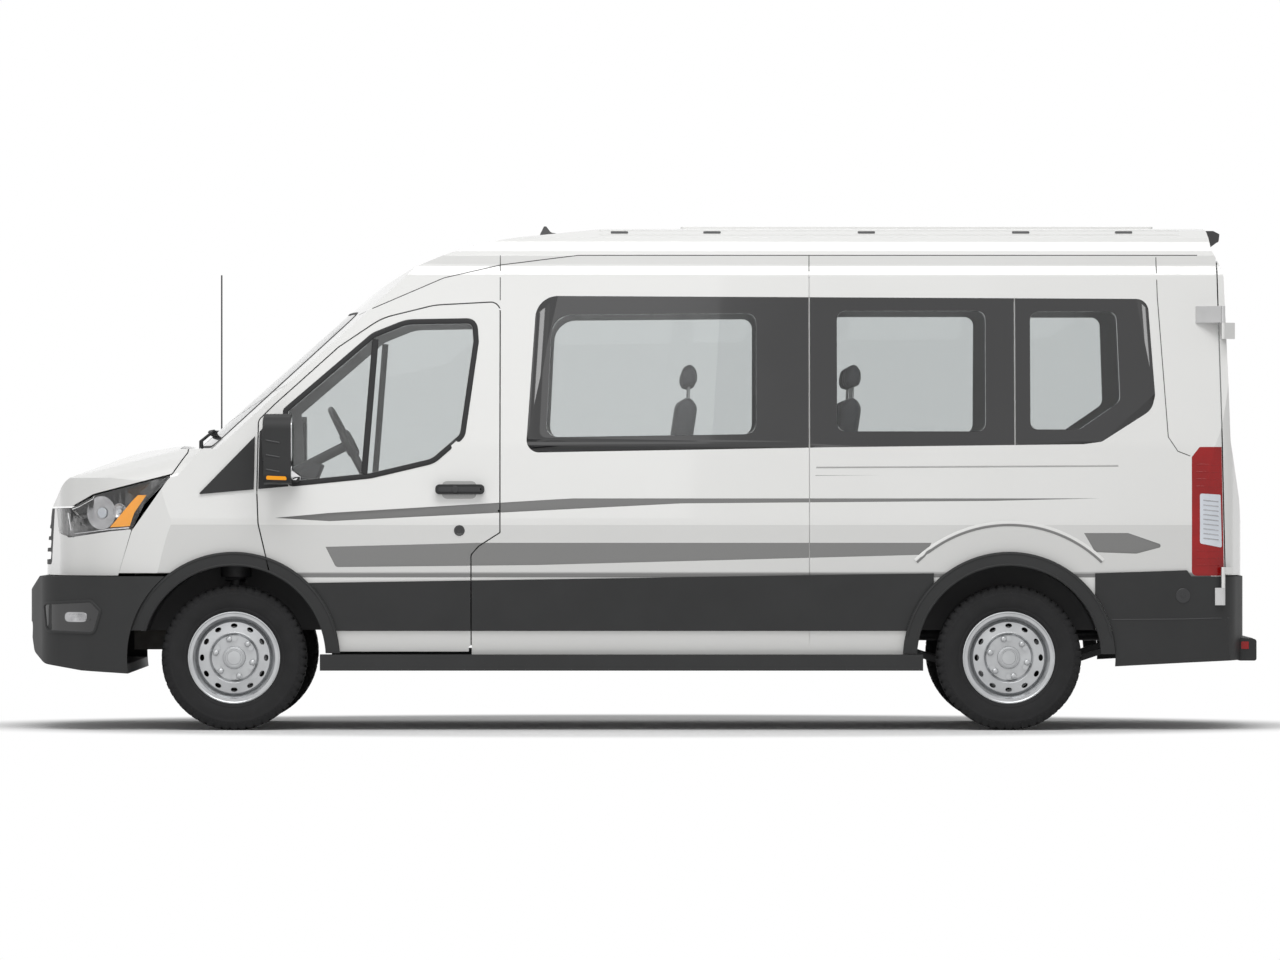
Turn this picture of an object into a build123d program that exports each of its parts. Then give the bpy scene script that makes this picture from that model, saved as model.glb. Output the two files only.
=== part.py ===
"""A mid-roof passenger van with a long wheelbase, as an assembly of its real panels.

Millimetres. X runs to the rear, Y to the van's right and Z up. The origin is on the
ground under the centre of the whole van. The left side is the driver's side.
"""

from build123d import *
import os
from math import cos, radians, sin, sqrt, tan

# Overall sizes and the axles
WHEELBASE = 3750
FRONT_OVERHANG = 1025
REAR_OVERHANG = 1205
BODY_HALF_WIDTH = 1032
ROOF_HEIGHT = 2446
SILL_BOTTOM = 367
FLOOR_TOP = 620
FLOOR_THICKNESS = 60
WALL = 55
FRONT_SKIN = 30
GLASS = 8
PANEL_GAP = 6
SEAT_GAP = 0.3
DOOR_REBATE = 8

LENGTH = FRONT_OVERHANG + WHEELBASE + REAR_OVERHANG
NOSE_X = -LENGTH / 2
TAIL_X = LENGTH / 2
FRONT_AXLE_X = NOSE_X + FRONT_OVERHANG
REAR_AXLE_X = FRONT_AXLE_X + WHEELBASE

# Wheels and tyres
TYRE_RADIUS = 351
TYRE_WIDTH = 235
HALF_TRACK = 867
FLANGE_RADIUS = 221
RIM_HALF_WIDTH = 92
SPINDLE_RADIUS = 30
SPINDLE_CLEARANCE = 0.05
VENT_COUNT = 12
VENT_CIRCLE = 155
LUG_COUNT = 6
LUG_CIRCLE = 92
LUG_RADIUS = 13
HUB_BORE = SPINDLE_RADIUS + SPINDLE_CLEARANCE
# Turned shapes of a wheel and a tyre: radius, distance outward from the wheel's centre plane
BARREL_ROWS = (
    (FLANGE_RADIUS, RIM_HALF_WIDTH), (FLANGE_RADIUS, 84), (206, 82), (198, 66), (190, 40), (190, -40),
    (198, -66), (206, -82), (FLANGE_RADIUS, -84), (FLANGE_RADIUS, -RIM_HALF_WIDTH),
    (200, -RIM_HALF_WIDTH), (190, -74), (182, -40), (182, 40), (190, 74), (200, RIM_HALF_WIDTH),
)
DISC_ROWS = (
    (HUB_BORE, 20), (48, 20), (48, 48), (112, 48), (122, 62), (168, 58), (183, 36), (183, 30),
    (186, 30), (186, 44), (172, 66), (120, 70), (108, 56), (56, 56), (52, 80), (40, 84), (0, 84),
    (0, 60), (HUB_BORE, 60),
)
ROTOR_ROWS = ((HUB_BORE, -52), (150, -52), (150, -28), (60, -28), (60, 30), (HUB_BORE, 30))
TYRE_ROWS = (
    (206.3, -81.5), (206.3, 81.5), (222, 83.5), (224, 94), (245, 108), (285, TYRE_WIDTH / 2),
    (325, 112), (345, 98), (TYRE_RADIUS, 78), (TYRE_RADIUS, -78), (345, -98), (325, -112),
    (285, -TYRE_WIDTH / 2), (245, -108), (224, -94), (222, -83.5),
)
KING_PIN_Y = 775
KING_PIN_RADIUS = 14

# Arches, cladding and sills
ARCH_RADIUS = 445
FLARE_RADIUS = 513
FLARE_PROUD = 24
CLADDING_PROUD = 10
CLADDING_BOTTOM = 481
CLADDING_FRONT_TOP = 715
CLADDING_REAR_TOP = 760
BUMPER_TOP = 745

# Windscreen: its foot on the centre line, its slope and how far its sides lie back
SCREEN_FOOT_X = -2151
SCREEN_FOOT_Z = 1385
SCREEN_SLOPE = 41.7
SCREEN_CURVE_RADIUS = 4150
SCREEN_TRIM = 3
COWL_Z = 1362

# Doors
FRONT_DOOR_REAR_X = -677
# How far the black corner patches stay from a front door's shut line, so that they pass as it opens
DOOR_PATCH_INSET = 4
WING_PATCH_INSET = 12
REAR_DOOR_HINGE_X = 2818
REAR_DOOR_HINGE_Y = 1033
REAR_DOOR_BOTTOM = 751
REAR_DOOR_TOP = 2294
HOOD_HINGE_X = -2186
HOOD_PIN_X = -2188
HOOD_PIN_Z = 1356
BODY_SEAM_X = 819
# Pins of a front door: x, distance from the centre line, foot
FRONT_DOOR_PINS = ((-1851.8, 1020, 1142), (-1846.4, 1000, 1425))
FRONT_DOOR_PIN_RADIUS = 2.4
FRONT_DOOR_PIN_LENGTH = 16
# Hinges of a rear door: span of the body's knuckle, span of the door's knuckle, span of the
# door's leaf, then the plan of each leaf as distances behind and inside its turning line
HINGE_KNUCKLE_RADIUS = 10
HINGE_PIN_RADIUS = 5
REAR_HINGES = (
    ((1972, 2052), (1893, 1971.7), (1893, 1971.7),
     ((-7, 0, 0), (7, 0, 0), (-14, 120, 0), (-128, 120, 0), (-128, 84, 6)),
     ((-7, 0, 0), (7, 0, 0), (62, 84, 6), (62, 115, 0), (-4, 115, 0))),
    ((606, 690), (690.3, 790), (757, 790),
     ((-40, -3, 4), (-2, -8, 0), (8, 0, 0), (8, 40, 0), (-40, 40, 0)),
     ((-7, 0, 0), (7, 0, 0), (46, 24, 4), (46, 50, 0), (20, 50, 0), (20, 22, 0))),
)

WIDE = 1400
SIDES = (("left", -1), ("right", 1))
AXLES = (("front", FRONT_AXLE_X), ("rear", REAR_AXLE_X))

# Side view of the whole body: x, z, corner radius
SIDE_VIEW = (
    (-2917, BUMPER_TOP, 0),
    (-2868, 1075, 60),
    (-2790, 1215, 130),
    (-2450, 1345, 600),
    (SCREEN_FOOT_X, SCREEN_FOOT_Z, 0),
    (-1083, 2337, 1650),
    (-56, ROOF_HEIGHT, 3000),
    (2748, ROOF_HEIGHT - 10, 30),
    (2768, 2330, 60),
    (2826, 2215, 120),
    (2858, 1400, 200),
    (2906, 1120, 300),
    (2936, BUMPER_TOP, 0),
)
# Front view of the body, right half from the sill up: y, z, corner radius
FRONT_VIEW = (
    (965, SILL_BOTTOM, 0),
    (990, 480, 60),
    (1022, 760, 200),
    (BODY_HALF_WIDTH, 1010, 400),
    (1016, 1380, 400),
    (910, 2205, 40),
    (886, 2250, 30),
    (890, 2300, 4),
    (868, 2321, 4),
    (846, 2379, 60),
    (700, 2432, 200),
    (0, ROOF_HEIGHT + 4, 3000),
)
# Plan of the body, right half from the nose back: x, y, corner radius
PLAN_VIEW = (
    (-2925, 0, 0),
    (-2900, 420, 500),
    (-2800, 800, 250),
    (-2560, 985, 500),
    (-2260, BODY_HALF_WIDTH + 2, 600),
    (2700, BODY_HALF_WIDTH + 2, 300),
    (2850, 1000, 130),
    (2915, 820, 200),
    (2940, 0, 0),
)

# Shoulders of the hood and wings: right half of the front view at one x, and their slope
SHOULDER_X = -2262
SHOULDER_START_X = -2040
SHOULDER_SLOPE = 14.3
SHOULDER_VIEW = (
    (1034, 1165, 0),
    (1026, 1222, 80),
    (975, 1300, 110),
    (820, 1352, 300),
    (450, 1388, 800),
    (0, 1406, 3000),
)
SHOULDER_SIDE_VIEW = (
    (-3100, 800), (-2330, 1150), (-2262, 1200), (-2110, 1375), (-2110, 1800), (-3100, 1800),
)

# Cut lines of the panels in side view: x, z, corner radius
HOOD_VIEW = (
    (-3050, 1074, 0),
    (-2756, 1080, 0),
    (-2646, 1141, 60),
    (-2262, 1239, 8),
    (HOOD_HINGE_X - 4, 1345, 20),
    (HOOD_HINGE_X - 4, 1600, 0),
    (-3050, 1600, 0),
)
HEADLAMP_VIEW = (
    (-2762, 1074, 10),
    (-2646, 1135, 60),
    (-2264, 1233, 4),
    (-2395, 1099, 60),
    (-2458, 974, 10),
    (-2562, 965, 40),
    (-2782, 932, 10),
)
HEADLAMP_FRONT_VIEW = ((640, 1074, 10), (840, 1074, 0), (840, 934, 0), (700, 960, 20))
FRONT_DOOR_VIEW = (
    (FRONT_DOOR_REAR_X, 2075, 45),
    (-994, 2058, 300),
    (-1250, 1995, 300),
    (-1457, 1856, 80),
    (-1766, 1578, 80),
    (-1845, 1500, 40),
    (-1852, 1150, 20),
    (-1846, 1000, 60),
    (-1790, 760, 0),
    (-1790, SILL_BOTTOM + 3, 0),
    (FRONT_DOOR_REAR_X, SILL_BOTTOM + 3, 25),
)
# The left door's lower rear corner gives way to the fuel filler panel
FILLER_PANEL_VIEW = (
    (-560, 957, 0),
    (FRONT_DOOR_REAR_X, 957, 0),
    (-780, 891, 25),
    (-817, 850, 25),
    (-817, 300, 0),
    (-560, 300, 0),
)
DOOR_WINDOW_VIEW = (
    (-1715, 1547, 20),
    (-1457, 1768, 60),
    (-1290, 1912, 120),
    (-1130, 1976, 200),
    (-800, 1982, 45),
    (-793, 1880, 40),
    (-858, 1425, 60),
    (-1000, 1302, 120),
    (-1302, 1231, 200),
    (-1693, 1191, 20),
)
SLIDING_DOOR_VIEW = (
    (FRONT_DOOR_REAR_X + 20, SILL_BOTTOM + 5, 25),
    (BODY_SEAM_X, SILL_BOTTOM + 5, 25),
    (BODY_SEAM_X, 2190, 60),
    (FRONT_DOOR_REAR_X + 20, 2190, 60),
)
MIRROR_ARM_VIEW = ((-1775, 1195, 20), (-1640, 1200, 20), (-1640, 1245, 20), (-1775, 1255, 20))
MIRROR_FRONT_VIEW = ((1075, 1185, 40), (1225, 1200, 50), (1237, 1500, 60), (1090, 1555, 60))
MIRROR_REACH = (-1813, -1681)
HANDLE_VIEW = ((-989, 1142, 20), (-752, 1142, 20), (-752, 1190, 20), (-989, 1190, 20))
GLASS_BAND_VIEW = (
    (-553, 1343, 60),
    (919, 1369, 0),
    (2146, 1384, 40),
    (2233, 1396, 40),
    (2475, 1550, 90),
    (2492, 1620, 60),
    (2458, 2088, 60),
    (-500, 2103, 110),
)
# See-through panes of the glass band: name, corners
PANES = (
    ("front", ((-455, 1418, 60), (562, 1433, 60), (562, 2018, 50), (-425, 2010, 110))),
    ("middle", ((953, 1446, 45), (1672, 1446, 45), (1672, 2029, 45), (953, 2029, 45))),
    (
        "rear",
        ((1888, 1455, 40), (2124, 1455, 40), (2323, 1592, 50), (2306, 2026, 45), (1888, 2026, 45)),
    ),
)
PANE_SPLITS = (BODY_SEAM_X, 1813)
# Pressed ribs of the roof: start, end and half width, and where they lie
ROOF_RIB = (200, 2500, 35)
ROOF_RIB_Y = (-560, -280, 0, 280, 560)
RACK_HOLE_X = (350, 1850)
RACK_HOLE_Y = 640
RACK_HOLE_RADIUS = 5
TAIL_LAMP_VIEW = ((2667, 748, 25), (2667, 1322, 10), (2705, 1371, 12), (2812, 1371, 0), (2824, 748, 0))
REAR_SEAM_VIEW = ((2790, REAR_DOOR_TOP), (2812, 1400), (2827, REAR_DOOR_BOTTOM))
ROOF_SEAM = ((-1500, 1948), (-1364, 2012), (-950, 2190), (-677, 2253), (-300, 2300), (2950, 2300))

# The side panel behind and above the front wing
SIDE_PANEL_VIEW = (
    ((-1400, 300), (-1400, COWL_Z), (HOOD_HINGE_X + 3, COWL_Z), (HOOD_HINGE_X + 3, ROOF_SEAM[0][1]))
    + ROOF_SEAM
    + REAR_SEAM_VIEW
    + ((REAR_SEAM_VIEW[-1][0], 300),)
)
GRILLE_TOP = 1072
FENDER_VIEW = (
    (-2458, 965), (-2521, 761), (-1700, 761), (-1700, COWL_Z), (-2262, COWL_Z), (-2262, 1300), (-2272, 1228)
)
FASCIA_VIEW = (
    (-3000, BUMPER_TOP + 4), (-2525, BUMPER_TOP + 4), (-2461, 965), (-2480, 1000), (-2700, GRILLE_TOP),
    (-3000, GRILLE_TOP),
)
SCREEN_VIEW = (
    (872, COWL_Z + SEAT_GAP, 50), (742, 2030, 80), (-742, 2030, 80), (-872, COWL_Z + SEAT_GAP, 50)
)
REAR_WINDOW_VIEW = ((110, 1420, 60), (850, 1420, 80), (785, 2090, 80), (110, 2090, 60))
TRIM_PATCH_VIEW = ((-2135, 1142, 4), (-1700, 1180, 0), (-1722, 1535, 0), (-1825, 1460, 10))
CLADDING_VIEW = (
    (-1800, CLADDING_BOTTOM), (1420, CLADDING_BOTTOM), (1420, CLADDING_REAR_TOP),
    (-1500, CLADDING_FRONT_TOP), (-1800, CLADDING_FRONT_TOP - 4),
)
GRILLE_VIEW = ((606, 1090, 0), (530, 800, 30), (-530, 800, 30), (-606, 1090, 0))
GRILLE_BARS = 4

# Bumpers: side view and plan
FRONT_BUMPER_REAR_X = -2300
FRONT_BUMPER_VIEW = (
    (-2922, BUMPER_TOP, 10), (-2987, 665, 60), (-2990, 544, 40), (-2957, 374, 40), (-2892, 319, 60),
    (-2703, 289, 60), (-2387, 270, 0), (-2387, 484, 0), (FRONT_BUMPER_REAR_X, 484, 0),
    (FRONT_BUMPER_REAR_X, BUMPER_TOP, 0),
)
FRONT_BUMPER_PLAN = (
    (-2990, 0, 0), (-2978, 420, 600), (-2890, 800, 260), (-2640, 1010, 420), (-2420, 1046, 200),
    (-2200, 1046, 0),
)
INTAKE_VIEW = ((-430, 380, 30), (430, 380, 30), (470, 520, 30), (-470, 520, 30))
BUMPER_WALL = 40
REAR_BUMPER_VIEW = (
    (2200, 304, 0), (2618, 326, 20), (2946, 342, 10), (2946, BUMPER_TOP, 10), (2664, BUMPER_TOP, 0),
    (2644, 775, 10), (2200, CLADDING_REAR_TOP, 0),
)
STEP_VIEW = ((2900, 335, 10), (TAIL_X, 335, 12), (TAIL_X, 440, 14), (2900, 446, 10))

# Running gear and underbody
RAIL_INNER_Y = 430
RAIL_OUTER_Y = 547.7
RAIL_TOP = 560
RAIL_BOTTOM = 480
LEAF_VIEW = (
    (1170, 440, 0), (1480, 336, 500), (2090, 336, 500), (2400, 440, 0), (2400, 410, 0), (2090, 306, 500),
    (1480, 306, 500), (1170, 410, 0),
)
# Wheel housings: axle, distance of the inner wall from the centre line
HOUSINGS = ((FRONT_AXLE_X, RAIL_OUTER_Y), (REAR_AXLE_X, 628))
LINER_WALL = 12
BEAM_RADIUS = 45
BOARD_INNER_Y = 900
BOARD_OUTER_Y = 1015
EXHAUST_Y = 640
EXHAUST_Z = 440
ENGINE_BLOCK = ((-2480, -290, 380), (-2060 - SEAT_GAP, 290, 930))
FUEL_TANK = ((-560, -880, 330), (440, -560, FLOOR_TOP - FLOOR_THICKNESS))
STRUT_Y = 690
YOKE_FOOT = 484.3
YOKE_TOP = 515

# Aerial fin and high rear lamp in side view
FIN_VIEW = (
    (-500, 2380, 0), (-492, 2425, 10), (-474, 2462, 3), (-462, 2462, 3), (-440, 2432, 20),
    (-390, 2424, 4), (-390, 2380, 0),
)
HIGH_LAMP_VIEW = (
    (2730, 2436, 4), (2820, 2436, 10), (2851, 2420, 6), (2846, 2385, 10), (2790, 2344, 10),
    (2730, 2344, 0),
)

# Wipers: the y values of an arm's post and of its blade's far end
WIPERS = ((-640, 60), (200, 800))
WIPER_Z = 1425

# Toe board ahead of the cabin floor
TOE_VIEW = (
    (-1780, FLOOR_TOP - FLOOR_THICKNESS), (-2061, 960), (-2061, 1330), (-2020, 1330), (-2020, 975),
    (-1740, FLOOR_TOP), (-1700, FLOOR_TOP), (-1700, FLOOR_TOP - FLOOR_THICKNESS),
)

# Cabin: profile of a seat about its place, then each row's x with the y of its seats
SEAT_VIEW = (
    (-560, 340, 30), (-575, 450, 50), (-190, 430, 30), (-60, 1150, 40), (20, 1170, 50), (45, 1000, 100),
    (-60, 340, 60),
)
SEAT_WIDTH = 440
SEAT_ROWS = (
    (-700, (-430, 430)),
    (244, (-670, -222, 560)),
    (1040, (-670, -222, 560)),
    (1836, (-460, 0, 460)),
)
DASH_VIEW = (
    (-2019.7, 1280, 20), (-1690, 1235, 80), (-1560, 1120, 60), (-1640, 900, 50), (-1780, 780, 40),
    (-2019.7, 1000, 0),
)
STEERING_CENTRE = (-1425, -430, 1385)
STEERING_TILT = 27
STEERING_RADIUS = 190

# Pressed bands along the side: name, depth, corners of its side view
PRESSED_BANDS = (
    ("upper", 16, ((-1765, 1028, 0), (-1500, 1052, 0), (-400, 1118, 0), (200, 1150, 400),
                   (1600, 1155, 400), (2560, 1180, 20), (2560, 1130, 20), (1700, 1110, 400),
                   (200, 1098, 400), (-700, 1052, 400), (-1500, 1012, 0))),
    ("lower", 14, ((-1520, 888, 0), (-500, 915, 0), (1440, 968, 20), (1380, 850, 30),
                   (-500, 800, 0), (-1470, 790, 20))),
    ("corner", 14, ((2130, 982, 10), (2330, 965, 60), (2540, 892, 10), (2400, 855, 40),
                    (2200, 862, 20))),
    ("track", 10, ((845, 1302, 6), (2320, 1312, 6), (2320, 1242, 6), (845, 1232, 6))),
)


def across(outline, low_y=-WIDE, high_y=WIDE, inset=0):
    """Solid of a side-view outline between two y values, its edge set in if asked."""
    plane = Plane(origin=(0, high_y, 0), x_dir=(1, 0, 0), z_dir=(0, -1, 0))
    return extrude(face_on(plane, outline, inset), amount=high_y - low_y)


def along(outline, low_x, high_x, inset=0):
    """Solid of a front-view outline between two x values, its edge set in if asked."""
    plane = Plane(origin=(low_x, 0, 0), x_dir=(0, 1, 0), z_dir=(1, 0, 0))
    return extrude(face_on(plane, outline, inset), amount=high_x - low_x)


def upright(outline, low_z, high_z):
    """Solid of a plan outline between two z values."""
    return extrude(face_on(Plane.XY.offset(low_z), outline), amount=high_z - low_z)


def face_on(plane, outline, inset=0):
    """Flat face of a closed outline whose rows are u, v and corner radius."""
    rows = [row if len(row) == 3 else (*row, 0) for row in outline]
    corners = [(u, v) for u, v, radius in rows]
    loop = FilletPolyline(*corners, radius=[radius for u, v, radius in rows], close=True)
    face = make_face(loop.edges())
    if inset:
        face = offset(face, amount=-inset, kind=Kind.INTERSECTION)
    return plane * face


def mirror_across(outline):
    """Front-view outline of the right half, closed by its mirror image on the left."""
    return tuple(outline) + tuple((-y, z, r) for y, z, r in reversed(outline) if y)


def mirror_plan(outline):
    """Plan outline of the right half, closed by its mirror image on the left."""
    return tuple(outline) + tuple((x, -y, r) for x, y, r in reversed(outline) if y)


def box(low, high):
    """Solid box between two corners."""
    size = [b - a for a, b in zip(low, high)]
    return Pos(*low) * Box(*size, align=(Align.MIN, Align.MIN, Align.MIN))


def rod(start, end, radius):
    """Round bar from one point to another."""
    way = Vector(*end) - Vector(*start)
    return Plane(origin=start, z_dir=way) * Cylinder(
        radius, way.length, align=(Align.CENTER, Align.CENTER, Align.MIN)
    )


def disc(x, z, radius, low_y, high_y):
    """Round solid about a line across the van."""
    return rod((x, low_y, z), (x, high_y, z), radius)


def envelope(inset, bottom=SILL_BOTTOM):
    """The body as one solid block, every skin set in by the given amount."""
    side = across(SIDE_VIEW + ((2936, bottom, 0), (-2917, bottom, 0)), inset=inset)
    rows = ((FRONT_VIEW[0][0], bottom, 0),) + FRONT_VIEW[1:]
    front = along(mirror_across(rows), NOSE_X - 100, TAIL_X + 100, inset)
    plan = extrude(face_on(Plane.XY, mirror_plan(PLAN_VIEW), inset), amount=ROOF_HEIGHT + 200)
    return (side & front & plan) - screen_cutter(inset) - shoulder_cutter(inset)


def screen_cutter(inset):
    """What lies ahead of the curved windscreen: a plan arc drawn along the slope."""
    slope = radians(SCREEN_SLOPE)
    start_z = COWL_Z - inset
    foot = SCREEN_FOOT_X + SCREEN_TRIM + (start_z - SCREEN_FOOT_Z) / tan(slope) + inset / sin(slope)
    lay_back = SCREEN_CURVE_RADIUS - sqrt(SCREEN_CURVE_RADIUS**2 - WIDE**2)
    arc = ThreePointArc((foot + lay_back, -WIDE), (foot, 0), (foot + lay_back, WIDE))
    lead = foot - 60
    rest = Polyline((foot + lay_back, WIDE), (lead, WIDE), (lead, -WIDE), (foot + lay_back, -WIDE))
    face = Plane.XY.offset(start_z) * make_face(arc.edges() + rest.edges())
    return extrude(face, amount=(ROOF_HEIGHT + 200 - start_z) / sin(slope), dir=(cos(slope), 0, sin(slope)))


def shoulder_cutter(inset):
    """What lies above the rounded shoulders of the hood and wings."""
    slope = radians(SHOULDER_SLOPE)
    lift = (SHOULDER_START_X - SHOULDER_X) * tan(slope)
    rows = tuple((y, z + lift, r) for y, z, r in SHOULDER_VIEW)
    outline = tuple(reversed(mirror_across(rows))) + ((WIDE, rows[0][1], 0), (WIDE, ROOF_HEIGHT, 0),
              (-WIDE, ROOF_HEIGHT, 0), (-WIDE, rows[0][1], 0))
    plane = Plane(origin=(SHOULDER_START_X, 0, 0), x_dir=(0, 1, 0), z_dir=(1, 0, 0))
    block = extrude(face_on(plane, outline, -inset), amount=1150, dir=(-cos(slope), 0, -sin(slope)))
    return block & across(SHOULDER_SIDE_VIEW)


def pressed_bands(side):
    """Cutters for the pressed bands: each leans inward from its top edge to its foot."""
    cutters = []
    for name, depth, outline in PRESSED_BANDS:
        top = max(row[1] for row in outline)
        foot = min(row[1] for row in outline)
        wedge = (
            (side * (BODY_HALF_WIDTH + 1), top, 0),
            (side * (BODY_HALF_WIDTH + 60), top, 0),
            (side * (BODY_HALF_WIDTH + 60), foot, 0),
            (side * (BODY_HALF_WIDTH - depth), foot, 0),
        )
        reach = sorted((side * 900, side * WIDE))
        cutters.append(along(wedge, -2200, 2700) & across(outline, *reach))
    return cutters


def save(name, *solids):
    """Write one named piece of the van."""
    shape = Compound(label=name, children=[s for solid in solids for s in solid.solids()])
    export_step(shape, f"parts/{name}.step")
    return shape


os.makedirs("parts", exist_ok=True)

HALF_SPACE = {
    -1: box((-4000, -WIDE, 0), (4000, 0, 3000)),
    1: box((-4000, 0, 0), (4000, WIDE, 3000)),
}
GAP = PANEL_GAP / 2
ARCHES = disc(FRONT_AXLE_X, TYRE_RADIUS, ARCH_RADIUS, -WIDE, WIDE) + disc(
    REAR_AXLE_X, TYRE_RADIUS, ARCH_RADIUS, -WIDE, WIDE
)
FLARE_DISCS = disc(FRONT_AXLE_X, TYRE_RADIUS, FLARE_RADIUS, -WIDE, WIDE) + disc(
    REAR_AXLE_X, TYRE_RADIUS, FLARE_RADIUS, -WIDE, WIDE
)

block = envelope(0)
for sign in (-1, 1):
    block = block - pressed_bands(sign)
DEEP = SILL_BOTTOM - 2 * WALL
cabin_hollow = envelope(WALL, DEEP)
nose_hollow = envelope(FRONT_SKIN, DEEP)
glass_hollow = envelope(GLASS, DEEP)
cabin_shell = block - cabin_hollow
nose_shell = block - nose_hollow
glass_skin = block - glass_hollow
floor_hollow = envelope(WALL + SEAT_GAP, DEEP)
cladding_skin = envelope(-CLADDING_PROUD, DEEP) - block
flare_skin = envelope(-FLARE_PROUD, DEEP) - block


def door_block(sign, inset):
    """Block that a front door fills, with its edge set in or out."""
    shape = across(FRONT_DOOR_VIEW, inset=inset) & HALF_SPACE[sign]
    if sign < 0:
        shape = shape - across(FILLER_PANEL_VIEW, inset=-inset)
    return shape - box((-4000, -700, 0), (4000, 700, 3000))


def windows(sign):
    """Recess of the glass band and the see-through openings behind it, on one side."""
    band = across(GLASS_BAND_VIEW) & HALF_SPACE[sign]
    openings = [across(outline) & HALF_SPACE[sign] for name, outline in PANES]
    return band, openings


def glass_band(sign):
    """The bonded glass of one side, split where the panes meet."""
    glass = glass_skin & across(GLASS_BAND_VIEW) & HALF_SPACE[sign]
    for x in PANE_SPLITS:
        glass = glass - box((x - GAP, -WIDE, 0), (x + GAP, WIDE, 3000))
    return glass


def side_panel(sign):
    """Body side from the windscreen pillar to the rear doors."""
    panel = cabin_shell & across(SIDE_PANEL_VIEW) & HALF_SPACE[sign]
    panel = panel - door_block(sign, -GAP) - ARCHES
    panel = panel - along(SCREEN_VIEW, -2400, -1200)
    panel = panel - box((REAR_AXLE_X, -WIDE, 0), (TAIL_X, WIDE, CLADDING_BOTTOM))
    panel = panel - across(TAIL_LAMP_VIEW)
    band, openings = windows(sign)
    panel = panel - (glass_skin & band)
    for opening in openings:
        panel = panel - opening
    if sign > 0:
        panel = panel - across(SLIDING_DOOR_VIEW, 0, WIDE, -GAP)
    else:
        groove = box((BODY_SEAM_X - 2, -WIDE, 0), (BODY_SEAM_X + 2, 0, 2300))
        panel = panel - (glass_skin & groove)
    return panel


def sliding_door():
    """Right-hand sliding door with its share of the window openings."""
    door = cabin_shell & across(SLIDING_DOOR_VIEW, 700, WIDE, GAP)
    band, openings = windows(1)
    door = door - (glass_skin & band)
    for opening in openings:
        door = door - opening
    return door


def front_door(sign):
    """Front door and its window pane."""
    door = (glass_skin & door_block(sign, GAP)) + (cabin_shell & door_block(sign, GAP + DOOR_REBATE))
    door = door - ARCHES
    window = across(DOOR_WINDOW_VIEW) & HALF_SPACE[sign]
    pane = glass_skin & window
    door = door - pane - (across(DOOR_WINDOW_VIEW, inset=14) & HALF_SPACE[sign])
    return door, pane


def rear_door(sign):
    """Rear door and its window pane."""
    reach = sorted((sign * GAP, sign * WIDE))
    door = None
    for shell, rebate in ((glass_skin, 0), (cabin_shell, DOOR_REBATE)):
        edge = tuple((x + PANEL_GAP + rebate, z) for x, z in REAR_SEAM_VIEW)
        layer = shell & across(edge + ((3000, REAR_DOOR_BOTTOM), (3000, REAR_DOOR_TOP)), *reach)
        door = layer if door is None else door + layer
    rows = tuple((sign * y, z, r) for y, z, r in REAR_WINDOW_VIEW)
    pane = glass_skin & along(rows, 2780, 3000)
    door = door - pane - along(rows, 2600, 3000, 40)
    return door, pane


def hood():
    """Hood that wraps down to the lamps."""
    return nose_shell & across(HOOD_VIEW, inset=GAP)


def nose_lamp(sign, grow=0):
    """Block of a headlamp, which turns the corner to the front."""
    side = across(HEADLAMP_VIEW, inset=-grow)
    corner = tuple((sign * y, z, r) for y, z, r in HEADLAMP_FRONT_VIEW)
    return (side + along(corner, -3000, -2745, -grow)) & HALF_SPACE[sign]


def fender(sign):
    """Front wing."""
    wing = nose_shell & across(FENDER_VIEW) & HALF_SPACE[sign]
    wing = wing - across(HOOD_VIEW, inset=-GAP) - nose_lamp(sign, 2) - ARCHES - door_block(sign, -GAP)
    return wing - box((-2250, -830, 1150), (-1700, 830, 1700))


def fascia():
    """Painted panels between the lamps and the bumper."""
    panel = nose_shell & across(FASCIA_VIEW)
    panel = panel - across(HOOD_VIEW, inset=-GAP) - nose_lamp(-1, 2) - nose_lamp(1, 2)
    return panel - along(GRILLE_VIEW, -3100, -2700, -1)


def grille():
    """Grille with level bars in front of a backing."""
    panel = (block - cabin_hollow) & along(GRILLE_VIEW, -3100, -2700) & across(FASCIA_VIEW)
    low, high = GRILLE_VIEW[1][1] + 22, GRILLE_TOP - 22
    pitch = (high - low) / GRILLE_BARS
    for bar in range(GRILLE_BARS):
        z = low + bar * pitch
        slot = ((-505, z, 8), (505, z, 8), (520, z + pitch - 18, 8), (-520, z + pitch - 18, 8))
        panel = panel - (along(slot, -3100, -2700) - nose_hollow)
    return panel


def bumper_space(inset):
    """Space behind the front bumper's skin, open at the rear."""
    open_view = tuple((x + 200 if x > -2500 else x, z, r) for x, z, r in FRONT_BUMPER_VIEW)
    plan = mirror_plan(FRONT_BUMPER_PLAN[:-1] + ((-1900, 1046, 0),))
    return across(open_view, inset=inset) & extrude(face_on(Plane.XY, plan, inset), amount=900)


def front_bumper():
    """Black front bumper, open behind and above its hollow."""
    plan = mirror_plan(FRONT_BUMPER_PLAN)
    bumper = (across(FRONT_BUMPER_VIEW) & upright(plan, 200, 800)) - bumper_space(BUMPER_WALL)
    open_plan = mirror_plan(FRONT_BUMPER_PLAN[:-1] + ((-1900, 1046, 0),))
    above = extrude(face_on(Plane.XY.offset(600), open_plan, 2 * BUMPER_WALL), amount=300)
    bumper = bumper - above - disc(FRONT_AXLE_X, TYRE_RADIUS, FLARE_RADIUS + 2, -WIDE, WIDE)
    return bumper - along(INTAKE_VIEW, -3100, -2800)


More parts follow.
